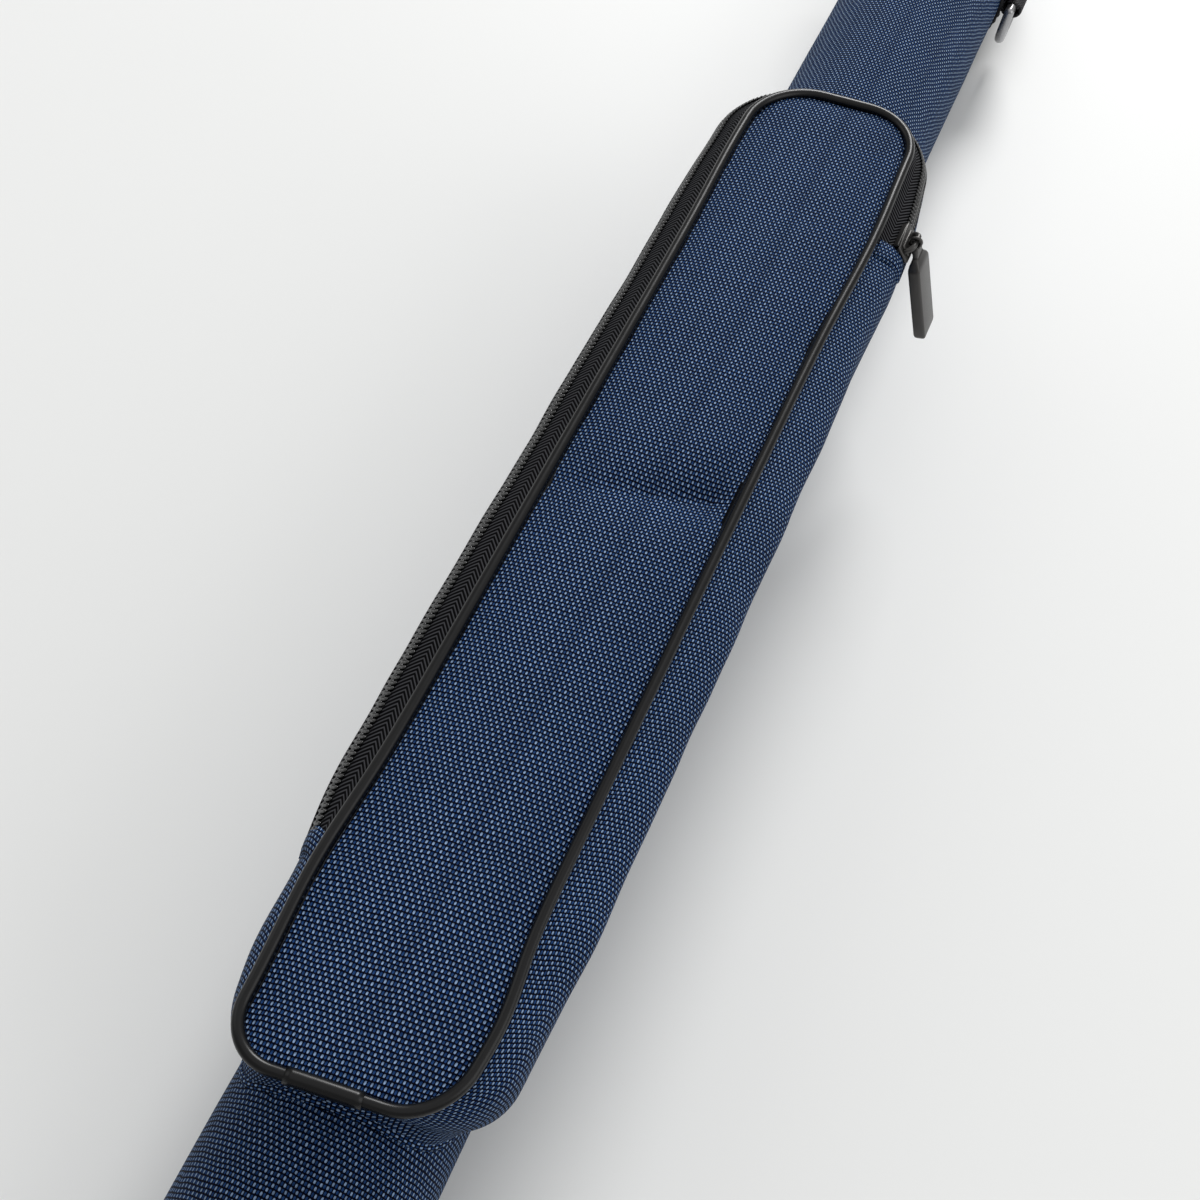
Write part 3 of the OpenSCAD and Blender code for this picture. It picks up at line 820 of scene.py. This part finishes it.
def make_zip():
    """The tapes and teeth round the pocket; the upper ones are baked in place and do not ride on the flap.
    """
    upper = slice(0, CHAIN_ROW)
    lower = slice(CHAIN_ROW + 1, TAPE_ROW + 2)
    tape_piece("zip_tape_upper_left", ZIP_FIRST, FAR_MIDDLE, upper, -0.1, PEEL, ["zip_tape_flap"])
    tape_piece(
        "zip_tape_upper_right", FAR_MIDDLE, ZIP_LAST, upper, -0.1, PEEL_RIGHT, ["zip_tape_upper_ends"]
    )
    tape_piece("zip_tape_lower_run", ZIP_FIRST, ZIP_LAST, lower, -0.3, "case", ["zip_tape_lower"])
    left = teeth("zip_teeth_upper_left", ZIP_FIRST, FAR_MIDDLE, -1, 0.5, PEEL)
    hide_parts("zip_coil_flap")
    right = teeth("zip_teeth_upper_right", FAR_MIDDLE, ZIP_LAST, -1, 0.5, PEEL_RIGHT)
    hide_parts("zip_coil_upper_ends")
    low = teeth("zip_teeth_lower", ZIP_FIRST, ZIP_LAST, 1, 0.0, "case")
    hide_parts("zip_coil_lower")
    edge_line = WALL[CHAIN_ROW, ZIP_FIRST:ZIP_LAST + 1]
    below = WALL[CHAIN_ROW + 4, ZIP_FIRST:ZIP_LAST + 1] - edge_line
    below = unit(below)
    out = WALL_OUT[CHAIN_ROW, ZIP_FIRST:ZIP_LAST + 1]
    cord_line = edge_line + below * 2.6 + out * 0.15
    cord = sweep("zip_edge_stitching", cord_line, below, out, circle(0.8, 12), TAPE)
    finish_piece(cord, "case", "black_tape")


def end_tab(name, first, last, node):
    """Folded tab of woven cloth over an end of the zip."""
    rows = slice(2, TAPE_ROW - 2)
    part = WALL[rows, first:last + 1]
    out = WALL_OUT[rows, first:last + 1]
    swell = np.sin(np.linspace(0, math.pi, part.shape[0])) ** 0.4
    edge = np.sin(np.linspace(0, math.pi, part.shape[1])) ** 0.4
    lift = 0.3 + 0.7 * swell[:, None] * edge[None]
    marks = WALL_MARKS[rows, first:last + 1]
    uv = np.stack([np.broadcast_to(lengths(part[5]), marks.shape), marks], 2)
    tab = shell(name, part + out * lift[..., None], uv, 0.9, NAVY, flip=OUT_SIGN)
    finish_piece(tab, "case", "navy_weave", node)


make_gusset()
make_zip()
end_tab("zip_tab_left", ZIP_FIRST - 3, ZIP_FIRST + 1, "zip_end_tab_left")
end_tab("zip_tab_right", ZIP_LAST - 1, ZIP_LAST + 3, "zip_end_tab_right")


# ---- the top panel, its piping and its lining ----

def outward(line):
    """Level directions that point out of a closed level line."""
    ahead = np.roll(line, -1, 0) - np.roll(line, 1, 0)
    ahead = unit(ahead)
    out = np.cross(ahead, [0, 0, 1])
    if np.einsum("ij,ij->i", out, line - line.mean(axis=0)).mean() < 0:
        out = -out
    return unit(out)


def make_piping():
    """The bead round the panel, with the flange that is sewn in under it."""
    out = outward(PIPE_LINE)
    up = np.tile([0.0, 0.0, 1.0], (STATIONS, 1))
    turn = np.radians(np.linspace(-118, 208, 20))
    bead = [(0.95 * PIPE_R * math.cos(a), 0.95 * PIPE_R * math.sin(a)) for a in turn]
    flange = [(-1.9, -1.5), (-2.9, -1.75), (-2.6, -2.1), (-0.9, -1.9)]
    profile = bead + flange
    line = PIPE_LINE + up * 0.12 * ripple(PIPE_LINE, 24.0)[:, None]
    piping = sweep("pocket_piping", line, out, up, profile, PIPING, closed=True)
    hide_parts("piping_fixed", "piping_flap")
    place_on(piping, PEEL)
    near = np.flatnonzero((PIPE_LINE[:, 0] < POCKET_X0 + 8) & (PIPE_LINE[:, 1] < 10.5))
    near = near[PIPE_LINE[near, 1] > -8.5]
    part = line[near]
    turn = np.radians(np.linspace(-125, 215, 18))
    sleeve_profile = [((PIPE_R + 0.45) * math.cos(a), (PIPE_R + 0.45) * math.sin(a)) for a in turn]
    sleeve = sweep("piping_joint_sleeve", part, out[near], up[near], sleeve_profile, PIPING)
    finish_piece(sleeve, "case", "black_piping", "piping_sleeve")


def panel_height(x, y, half):
    """Height of the sewn panel: a soft crown, two slack folds and a dimple."""
    t = np.clip(np.abs(y) / np.maximum(half, 1), 0, 1)
    crown = 1.5 * (1 - t ** 2.6) - 0.9 * t ** 8
    middle = (POCKET_X0 + POCKET_X1) / 2
    lean = x - (middle + 2.4) + 0.246 * y
    steep = np.where(lean > 0, 7.0, 15.0)
    fold = -6.2 * np.exp(-np.abs(lean) / steep) + 1.1 * hump(lean, -16, 11) + 1.0 * hump(lean, 19, 10)
    side = 0.35 + 0.65 * np.clip((24 - y) / 40, 0, 1)
    fold = fold * (1 - t ** 5) * side
    dimple = -0.7 * hump(x, middle + 73, 12) * hump(y, -22, 7)
    near = 0.7 * hump(x, POCKET_X0 + 62, 34) * (1 - t ** 2)
    return PANEL_Z - 0.7 + crown + fold + dimple + near


def panel_half_widths(x0, x1, half_full, near_r, far_r):
    """Places along the panel, closer together at its round corners, and its half width at each."""
    near_x = x0 + near_r * (1 - np.cos(np.linspace(0, math.pi / 2, 24)))
    far_x = x1 - far_r * (1 - np.cos(np.linspace(math.pi / 2, 0, 30)))
    between = np.linspace(x0 + near_r, x1 - far_r, 150)[1:-1]
    xs = np.concatenate([near_x, between, far_x])
    half = np.full(len(xs), half_full)
    near_part = xs < x0 + near_r
    far_part = xs > x1 - far_r
    half[near_part] -= near_r - np.sqrt(np.maximum(near_r ** 2 - (x0 + near_r - xs[near_part]) ** 2, 0))
    half[far_part] -= far_r - np.sqrt(np.maximum(far_r ** 2 - (xs[far_part] - x1 + far_r) ** 2, 0))
    return xs, half


def make_panel():
    """The top panel as one continuous sheet, with a lining under it."""
    columns = 41
    inset = PIPE_R - 0.25
    x0, x1 = POCKET_X0 + inset, POCKET_X1 - inset
    half_full = PANEL_HW - inset
    xs, half = panel_half_widths(x0, x1, half_full, NEAR_R - inset, FAR_R - inset)
    quarter = 0.49 * math.pi
    t = np.sin(np.linspace(-quarter, quarter, columns)) / math.sin(quarter)
    flat_x = np.broadcast_to(xs[:, None], (len(xs), columns))
    flat_y = half[:, None] * t[None]
    level = settle(np.stack([flat_x.ravel(), flat_y.ravel()], 1), 1.0).reshape(len(xs), columns, 2)
    end = np.minimum(xs - x0, x1 - xs)[:, None] / 14.0
    edge = 1 - np.clip(end, 0, 1)
    z = panel_height(flat_x, flat_y, half_full)
    z = z - (z - (PANEL_Z - 0.9)) * edge ** 2.6
    points = np.concatenate([level, z[..., None]], 2)
    slack = np.clip(end, 0, 1) * (1 - np.abs(t[None]) ** 3)
    z_noise = 0.38 * ripple(points, 36.0, 3.0) + 0.16 * ripple(points, 13.0, 9.0)
    points[..., 2] += slack * z_noise
    uv = np.stack([flat_x, flat_y], 2)
    normal = normals_of(points)
    flip = 1.0 if normal[..., 2].mean() > 0 else -1.0
    panel = shell("pocket_top_panel", points, uv, 1.2, NAVY, flip=flip)
    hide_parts("pocket_panel_fixed", "pocket_panel_flap")
    place_on(panel, PEEL)
    inside = points[8:-8, 3:-3].copy()
    inside[..., 2] = inside[..., 2] - 1.3
    lining = shell("flap_lining_pad", inside, uv[8:-8, 3:-3], 2.6, LINING, flip=flip)
    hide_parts("flap_foam")
    place_on(lining, PEEL)


make_piping()
make_panel()


# ---- the slider on the pocket's zip, and its pull ----

def slider_turn():
    """Matrix of the slider's own frame: X along the zip, -Y out of the cloth."""
    tilt = math.radians(40)
    out = Vector((0, -math.cos(tilt), math.sin(tilt)))
    origin = Vector(joint_mm("pull_swing").tolist()) - out * 5.8
    return Matrix.Translation(origin) @ Matrix.Rotation(-tilt, 4, "X")


ON_ZIP_FRAME = slider_turn()
PULL_PIVOT = Vector(joint_mm("pull_swing").tolist())
PIVOT_LOCAL = ON_ZIP_FRAME.inverted() @ PULL_PIVOT


def pinch(co):
    """Narrows a slider plate towards its nose, as the real ones are."""
    t = max(0.0, -co.x / 6.0)
    return Vector((co.x, co.y, co.z * (1 - 0.28 * t)))


def make_slider():
    """The pocket's slider: plate, flanges, and the bail that holds the pull."""
    turn = ON_ZIP_FRAME
    out = -PIVOT_LOCAL.y
    parts = [
        block("plate", (12, 1.1, 8), (0, -2.35, 0), 0.5, GUNMETAL, 4, turn, pinch),
        block("flange_low", (11, 2.0, 0.9), (0.3, -1.6, -3.5), 0.3, GUNMETAL, 3, turn),
        block("flange_high", (11, 2.0, 0.9), (0.3, -1.6, 3.5), 0.3, GUNMETAL, 3, turn),
        block("saddle", (8.6, 0.9, 4.4), (0, -3.15, 0), 0.4, GUNMETAL, 4, turn),
    ]
    rise = np.linspace(0, math.pi, 21)
    arch = [(-4.3, -2.4, 0)]
    arch += [(-4.3 * math.cos(a), -3.1 - (out - 3.1) * min(1, math.sin(a) * 1.25), 0) for a in rise]
    arch += [(4.3, -2.4, 0)]
    parts.append(tube_along("bail", arch, 0.9, GUNMETAL, turn))
    body = join("pocket_slider_body", parts)
    finish_piece(body, "zip_slider", "gunmetal", "pocket_slider", "slider_bail")


def make_pull():
    """The plain metal pull: an eye at the top, a bevelled shoulder and a long bar."""
    low, high = box_mm("pocket_pull")
    reach = PULL_PIVOT.z - low[2]
    lean = math.atan2(PULL_PIVOT.y - low[1] - 2.0, reach)
    length = reach / math.cos(lean)
    wide = high[0] - low[0]
    turn = Matrix.Translation(PULL_PIVOT) @ Matrix.Rotation(-lean, 4, "X")
    half = wide / 2
    # Height below the pivot, half width and half depth of each section
    rows = [
        (-5.0, 3.1, 0.95), (-5.9, 3.6, 1.1), (-7.2, half - 0.7, 1.75), (-8.4, half - 0.1, 2.0),
        (-9.4, half, 2.05), (-14, half, 2.05), (-20, half, 2.05), (-26, half, 2.05),
        (-32, half, 2.05), (-length + 2.2, half, 2.05), (-length + 1.2, half - 0.25, 1.95),
        (-length + 0.4, half - 0.9, 1.6), (-length, half - 1.7, 1.0),
    ]
    grid = []
    for z, w, d in rows:
        r = min(0.75, d * 0.6)
        ring = []
        for sx, sy, start in ((1, 1, 0), (-1, 1, 90), (-1, -1, 180), (1, -1, 270)):
            for a in np.radians(start + np.linspace(0, 90, 5)):
                ring.append((sx * (w - r) + r * math.cos(a), sy * (d - r) + r * math.sin(a), z))
        grid.append(ring)
    grid = np.array(grid)
    flat = grid.reshape(-1, 3)
    flat = np.array([tuple(turn @ Vector(p)) for p in flat]).reshape(grid.shape)
    faces, places = quads(len(rows), 20, False, True)
    bar = make_object("bar", flat.reshape(-1, 3), faces, places.astype(float), GUNMETAL, sharp=40)
    cap_ends(bar)
    eye_turn = np.linspace(0, 2 * math.pi, 25)[:-1]
    eye_path = [(0, 1.6 * math.sin(a), 1.6 * math.cos(a) - 0.05) for a in eye_turn]
    eye = tube_along("eye", eye_path, 0.6, GUNMETAL, turn, closed=True)
    neck = block("neck", (5.6, 1.8, 3.6), (0, 0, -4.0), 0.5, GUNMETAL, 3, turn)
    cheeks = [
        block("cheek", (1.5, 2.2, 2.6), (s * 2.0, 0, -2.4), 0.6, GUNMETAL, 3, turn) for s in (-1, 1)
    ]
    pull = join("pocket_pull_bar", [bar, eye, neck] + cheeks)
    finish_piece(pull, "zip_pull", "gunmetal", "pocket_pull")


make_slider()
make_pull()


# ---- the tube and its two ends ----

def drum(name, x0, x1, radius, material, thickness, wobble=0.0, rows=60, arc=None, lift=None):
    """Cloth round the tube between two places along it; arc is in degrees from the top."""
    xs = np.linspace(x0, x1, rows)
    full = arc is None
    a0, a1 = (-180, 180) if full else arc
    turn = np.radians(np.linspace(a0, a1, 121))
    if full:
        turn = turn[:-1]
    gx, ga = np.meshgrid(xs, turn, indexing="ij")
    points = np.stack([gx, radius * np.sin(ga), radius * np.cos(ga)], 2)
    if wobble:
        out = points * [0, 1, 1] / radius
        points = points + out * (wobble * ripple(points, 30.0, 2.0))[..., None]
    if lift is not None:
        out = points * [0, 1, 1] / radius
        points = points + out * lift(gx, ga)[..., None]
    turn_uv = np.append(turn, turn[0] + 2 * math.pi) if full else turn
    uv = np.stack(np.meshgrid(xs, turn_uv * radius, indexing="ij"), 2)
    normal = normals_of(points, full)
    outward = np.einsum("rci,rci->rc", normal, points * [0, 1, 1]).mean()
    return shell(name, points, uv, thickness, material, full, None, 1.0 if outward > 0 else -1.0)


def ring_path(x, radius, count=160, flat_z=None):
    """A circle round the tube's axis, pressed flat where it rests."""
    turn = np.linspace(0, 2 * math.pi, count, endpoint=False)
    points = np.stack([np.full(count, x), radius * np.sin(turn), radius * np.cos(turn)], 1)
    out = points * [0, 1, 1] / radius
    if flat_z is not None:
        points[:, 2] = np.maximum(points[:, 2], flat_z)
    return points, out


def end_bead(name, node, body, side):
    """Piping sewn round an end of the case, drawn as a round bead without the flange that lies under the
    cover.
    """
    low, high = box_mm(node)
    bead = PIPE_R + 0.1
    x = high[0] - bead if side > 0 else low[0] + bead
    path, out = ring_path(x, high[2] - bead, flat_z=REST_Z + bead)
    along = np.tile([float(side), 0.0, 0.0], (len(path), 1))
    piece = sweep(name, path, along, out, circle(bead, 18), PIPING, closed=True)
    finish_piece(piece, body, "black_piping", node)


def end_disc(name, node, body, side, proud=0.4, crown=1.4, paint=NAVY, slot_name="navy_weave"):
    """A round of cloth or foam, slightly domed towards one side and pulled in at its rim."""
    low, high = box_mm(node)
    radius = high[2] + proud
    x_out = high[0] if side > 0 else low[0]
    x_in = low[0] if side > 0 else high[0]
    rings = np.concatenate([[0.02], np.sin(np.linspace(0.05, math.pi / 2, 20))])
    turn = np.linspace(0, 2 * math.pi, 96, endpoint=False)
    gr, ga = np.meshgrid(rings * radius, turn, indexing="ij")
    dome = side * (0.2 - crown * (gr / radius) ** 5)
    points = np.stack([x_out + dome, gr * np.sin(ga), gr * np.cos(ga)], 2)
    points[..., 0] += side * 0.25 * ripple(points, 16.0, 4.0) * (1 - (gr / radius) ** 4)
    rim = points[-1:].copy()
    rim[..., 0] = x_in + side * 0.1
    points = np.concatenate([points, rim])
    uv = np.concatenate([points[..., 1:], points[:, :1, 1:]], 1)
    piece = surface(name, points, uv, paint)
    cap_ends(piece)
    return finish_piece(piece, body, slot_name, node)


def make_tube():
    """The woven cover with its seam underneath, the base end and the pocket's floor."""
    cover = drum("tube_cover_cloth", TUBE_X0 - 2.6, TUBE_X1, TUBE_R, NAVY, 1.4, 0.18, 150)
    finish_piece(cover, "case", "navy_weave", "tube_cover")
    seam = drum(
        "tube_under_seam", TUBE_X0, TUBE_X1, TUBE_R + 0.45, NAVY, 0.6, 0.0, 80, arc=(172, 188)
    )
    finish_piece(seam, "case", "navy_weave")
    for name, degrees in (("left", 173.5), ("right", 186.5)):
        a = math.radians(degrees)
        xs = np.linspace(TUBE_X0 + 4, TUBE_X1 - 4, 60)
        out = np.tile([0, math.sin(a), math.cos(a)], (60, 1))
        path = out * (TUBE_R + 0.5) + np.stack([xs, 0 * xs, 0 * xs], 1)
        row = stitches("tube_seam_stitch_" + name, path, out, THREAD)
        finish_piece(row, "case", "navy_weave")
    end_disc("base_end_cloth", "base_end_cover", "case", -1)
    end_bead("base_end_piping", "base_piping", "case", -1)
    floor_low, floor_high = box_mm("pocket_floor")
    floor = drum(
        "pocket_floor_lining", floor_low[0], floor_high[0], TUBE_R + 0.9, LINING, 0.6, 0.15, 90,
        arc=(-53, 53),
    )
    finish_piece(floor, "case", "lining", "pocket_floor")


def make_lid():
    """The woven lid with its end, its zip round the mouth, its hinge and its slider."""
    cover = drum("lid_cover_cloth", LID_TUBE_X, LID_X1 + 2.6, TUBE_R, NAVY, 1.4, 0.15, 24)
    finish_piece(cover, "lid", "navy_weave", "lid_cover")
    end_disc("lid_end_cloth", "lid_end_cover", "lid", 1)
    end_bead("lid_end_piping", "lid_piping", "lid", 1)
    tape_r = box_mm("lid_zip_tape_tube")[1][1]
    gap = box_mm("lid_zip_tape_lid")[0][0]
    for name, x0, x1, body, node in (
        ("lid_zip_tape_tube_side", TUBE_X1 - 2, MOUTH_X, "case", "lid_zip_tape_tube"),
        ("lid_zip_tape_lid_side", gap, LID_TUBE_X + 2, "lid", "lid_zip_tape_lid"),
    ):
        tape = drum(name, x0, x1, tape_r, TAPE, 0.9, 0.0, 10, arc=(27, 330))
        finish_piece(tape, body, "black_tape", node)
    for name, x, body, node, a0, a1 in (
        ("lid_teeth_tube_side", MOUTH_X, "case", "lid_zip_coil_tube", 32, 328),
        ("lid_teeth_lid_side", gap, "lid", "lid_zip_coil_lid", 54, 328),
    ):
        ring_teeth(name, x, tape_r, body, node, a0, a1)
    for name, x, body in (("tube_mouth_hem", TUBE_X1, "case"), ("lid_mouth_hem", LID_TUBE_X, "lid")):
        hem = drum(name, x - 1.6, x + 1.6, TUBE_R + 0.35, NAVY, 1.0, 0.0, 6, arc=(31, 329))
        finish_piece(hem, body, "navy_weave")
    make_lid_hinge()
    make_lid_slider()


def ring_teeth(name, x, radius, body, node, a0, a1):
    """Half of the lid's coil, round the mouth."""
    toward = -1 if body == "case" else 1
    shift = 0.0 if body == "case" else 0.5
    step = ZIP_PITCH / (radius + 0.5)
    turn = np.arange(math.radians(a0) + shift * step, math.radians(a1), step)
    out = np.stack([0 * turn, np.sin(turn), np.cos(turn)], 1)
    ahead = np.stack([0 * turn, np.cos(turn), -np.sin(turn)], 1)
    across = np.tile([float(toward), 0.0, 0.0], (len(turn), 1))
    stations = [(-0.1, 0.0, 0.2), (-0.02, 0.5, 0.8), (0.6, 0.6, 1.0), (1.4, 0.55, 1.0),
                (2.2, 0.45, 0.7), (2.55, 0.0, 0.2)]
    spot = radius * out + [x, 0, 0]
    coil = coil_teeth(name, spot, across, out, ahead, stations, 0.75, 0.75)
    finish_piece(coil, body, "black_coil", node)


def make_lid_hinge():
    """The woven strip that joins lid and tube over the top of the mouth."""
    low = box_mm("lid_hinge_tube_side")[0]
    high = box_mm("lid_hinge_lid_side")[1]
    strip = drum(
        "lid_hinge_strip", low[0] - 3, high[0] + 3, TUBE_R + 0.9, NAVY, 0.8, 0.0, 40, arc=(-30, 26.5)
    )
    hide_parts("lid_hinge_tube_side", "lid_hinge_lid_side")
    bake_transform(strip)


def make_lid_slider():
    """The slider on the lid's zip, and its pull."""
    pivot = joint_mm("lid_pull_swing")
    around = math.atan2(pivot[2], pivot[1])
    turn = Matrix.Rotation(around, 4, "X") @ Matrix.Translation((pivot[0], 0, 0))
    reach = math.hypot(pivot[1], pivot[2])
    parts = [
        block("plate", (10.6, 1.2, 12), (0, reach - 2.8, 0), 0.5, GUNMETAL, 4, turn),
        block("flange", (1.1, 2.2, 11), (-4.7, reach - 3.5, 0), 0.35, GUNMETAL, 3, turn),
    ]
    rise = np.linspace(0, math.pi, 17)
    arch = [(-4.0 * math.cos(a), reach - 2.4 + 2.4 * min(1.0, 1.3 * math.sin(a)), 0) for a in rise]
    parts.append(tube_along("bail", arch, 0.75, GUNMETAL, turn))
    slider = join("lid_slider_body", parts)
    finish_piece(slider, "lid_zip_slider", "gunmetal", "lid_slider")
    length = 27.5
    parts = [
        block("bar", (8, 1.8, length - 6), (0, reach, -6 - (length - 6) / 2), 0.7, GUNMETAL, 4, turn),
        block("neck", (5.2, 1.5, 5), (0, reach, -4.4), 0.55, GUNMETAL, 3, turn),
    ]
    loop = np.linspace(0, 2 * math.pi, 25)[:-1]
    ring = [(0, reach + 1.6 * math.sin(a), 1.6 * math.cos(a) - 0.15) for a in loop]
    parts.append(tube_along("eye", ring, 0.55, GUNMETAL, turn, closed=True))
    for side in (-1, 1):
        place = (side * 1.9, reach, -2.5)
        parts.append(block("cheek", (1.4, 1.7, 2.6), place, 0.5, GUNMETAL, 3, turn))
    pull = join("lid_pull_bar", parts)
    finish_piece(pull, "lid_zip_pull", "gunmetal", "lid_pull")


def make_pads():
    """The soft foam pads that the rod's two ends rest on."""
    base = end_disc("base_pad_foam", "base_pad", "case", 1, -0.3, 2.2, FOAM, "foam")
    lid = end_disc("lid_pad_foam", "lid_pad", "lid", -1, -0.3, 2.2, FOAM, "foam")


make_tube()
make_lid()
make_pads()


# ---- webbing bands, loops and rings ----

def make_band(node, tab_node, name):
    """A webbing band round the tube, a row of stitching near each of its edges and the loop for the
    D-ring.
    """
    low, high = box_mm(node)
    width = high[0] - low[0]
    middle = (high[0] + low[0]) / 2

    def lift(gx, ga):
        edge = np.abs(gx - middle) / (width / 2)
        return -0.35 * edge ** 10

    count = 240
    band = drum(name + "_webbing", low[0], high[0], BAND_R - 0.05, WEBBING, 1.3, 0.0, 19, lift=lift)
    for v in band.data.vertices:
        v.co.z = max(v.co.z, REST_Z * MM)
    uv = band.data.uv_layers.active.data
    swapped = np.empty(len(uv) * 2)
    uv.foreach_get("uv", swapped)
    swapped = swapped.reshape(-1, 2)[:, ::-1]
    uv.foreach_set("uv", swapped.ravel())
    finish_piece(band, "case", "black_webbing", node)
    for s in (-1, 1):
        path, out = ring_path(middle + s * (width / 2 - 2.4), BAND_R, count)
        row_name = name + ("_stitch_near" if s < 0 else "_stitch_far")
        row = stitches(row_name, path[20:-20], out[20:-20], BLACK_THREAD)
        for v in row.data.vertices:
            v.co.z = max(v.co.z, (REST_Z + 0.05) * MM)
        finish_piece(row, "case", "black_webbing")
    make_loop(tab_node, name)


def make_loop(node, name):
    """Webbing folded round the ring's bar and sewn down on the band."""
    low, high = box_mm(node)
    pivot = joint_mm(name + "_ring_swing")
    radius = pivot[1] - low[1]
    top = high[2]
    rise = np.linspace(pivot[2] + 2, top, 12)
    behind = -np.sqrt(np.maximum((BAND_R + 0.75) ** 2 - rise ** 2, 0))
    back = np.column_stack([0 * rise, behind, rise])
    around = np.radians(np.linspace(-180, 90, 36))
    loop = np.column_stack([
        0 * around, pivot[1] - radius * np.sin(around), pivot[2] - radius * np.cos(around),
    ])
    loop = loop[loop[:, 1] < -(BAND_R - 1.5)]
    line = np.concatenate([loop, back[::-1] if loop[-1, 2] > top else back])
    xs = np.linspace(low[0], high[0], 13)
    points = np.repeat(line[:, None], 13, 1)
    points[..., 0] = xs[None]
    run = lengths(line)
    uv = np.stack(np.meshgrid(run, xs, indexing="ij"), 2)
    normal = normals_of(points)
    flip = 1.0 if normal[len(line) // 3, 6, 1] < 0 else -1.0
    piece = shell(name + "_ring_loop", points, uv, 1.1, WEBBING, flip=flip)
    finish_piece(piece, "case", "black_webbing", node)


make_band("base_band", "base_ring_tab", "base")
make_band("lid_band", "lid_ring_tab", "lid")


# ---- CAD nodes that stay, in their own finishes ----

for node_name, finish in (
    ("tube_core", CORE), ("tube_liner", LINING), ("mouth_rim", CORE), ("base_plug", CORE),
    ("lid_shell", CORE), ("lid_end_plug", CORE),
    ("base_d_ring", STEEL), ("lid_d_ring", STEEL),
):
    part = frame["nodes"][node_name]
    part.data.materials.clear()
    part.data.materials.append(finish)


# ---- floor, light and camera ----

def make_stage():
    """A plain pale floor, an even sky and four soft lights."""
    white = (0.80, 0.805, 0.80)
    floor_paint = plain(
        "floor", white, 0.5, size=400.0, relief=0.0, vary=0.01, Specular_IOR_Level=0.2
    )
    bpy.ops.mesh.primitive_grid_add(size=8.0, x_subdivisions=2, y_subdivisions=2)
    floor = bpy.context.object
    floor.name = "floor"
    floor.location = (0.4, 0, REST_Z * MM)
    floor.data.materials.append(floor_paint)
    world = bpy.data.worlds.new("studio")
    world.use_nodes = True
    sky = world.node_tree.nodes["Background"]
    sky.inputs["Color"].default_value = (1.0, 1.0, 0.99, 1)
    sky.inputs["Strength"].default_value = 0.40
    bpy.context.scene.world = world
    # Each light's name, place and size in metres, and power in watts
    lights = (
        ("soft_box", (0.5, -0.3, 1.6), 3.0, 8.0),
        ("far_key", (2.8, 0.2, 1.45), 1.0, 56.0),
        ("right_fill", (0.4, -1.3, 0.8), 1.2, 5.0),
        ("left_fill", (0.4, 1.3, 0.9), 1.2, 2.6),
    )
    aim = Vector((0.4, 0.0, 0.03))
    for name, place, size, power in lights:
        lamp = bpy.data.lights.new(name, "AREA")
        lamp.shape = "DISK"
        lamp.size = size
        lamp.energy = power
        holder = bpy.data.objects.new(name, lamp)
        holder.location = place
        holder.rotation_euler = (aim - Vector(place)).to_track_quat("-Z", "Y").to_euler()
        bpy.context.scene.collection.objects.link(holder)


def make_camera():
    """The photograph's close view along the pocket from above the base end."""
    place = Vector((0.14063, -0.05438, 0.41904))
    ahead = Vector((0.51119, 0.11753, -0.85139)).normalized()
    right = Vector((0.39664, -0.91107, 0.11238))
    right = (right - ahead * right.dot(ahead)).normalized()
    up = right.cross(ahead)
    lens = bpy.data.cameras.new("view")
    lens.lens = 48.0
    lens.sensor_width = 36.0
    lens.clip_start = 0.01
    camera = bpy.data.objects.new("view", lens)
    turn = Matrix((right, up, -ahead)).transposed().to_4x4()
    camera.matrix_world = Matrix.Translation(place) @ turn
    bpy.context.scene.collection.objects.link(camera)
    bpy.context.scene.camera = camera


make_stage()
make_camera()
bpy.context.scene.view_settings.view_transform = "Standard"
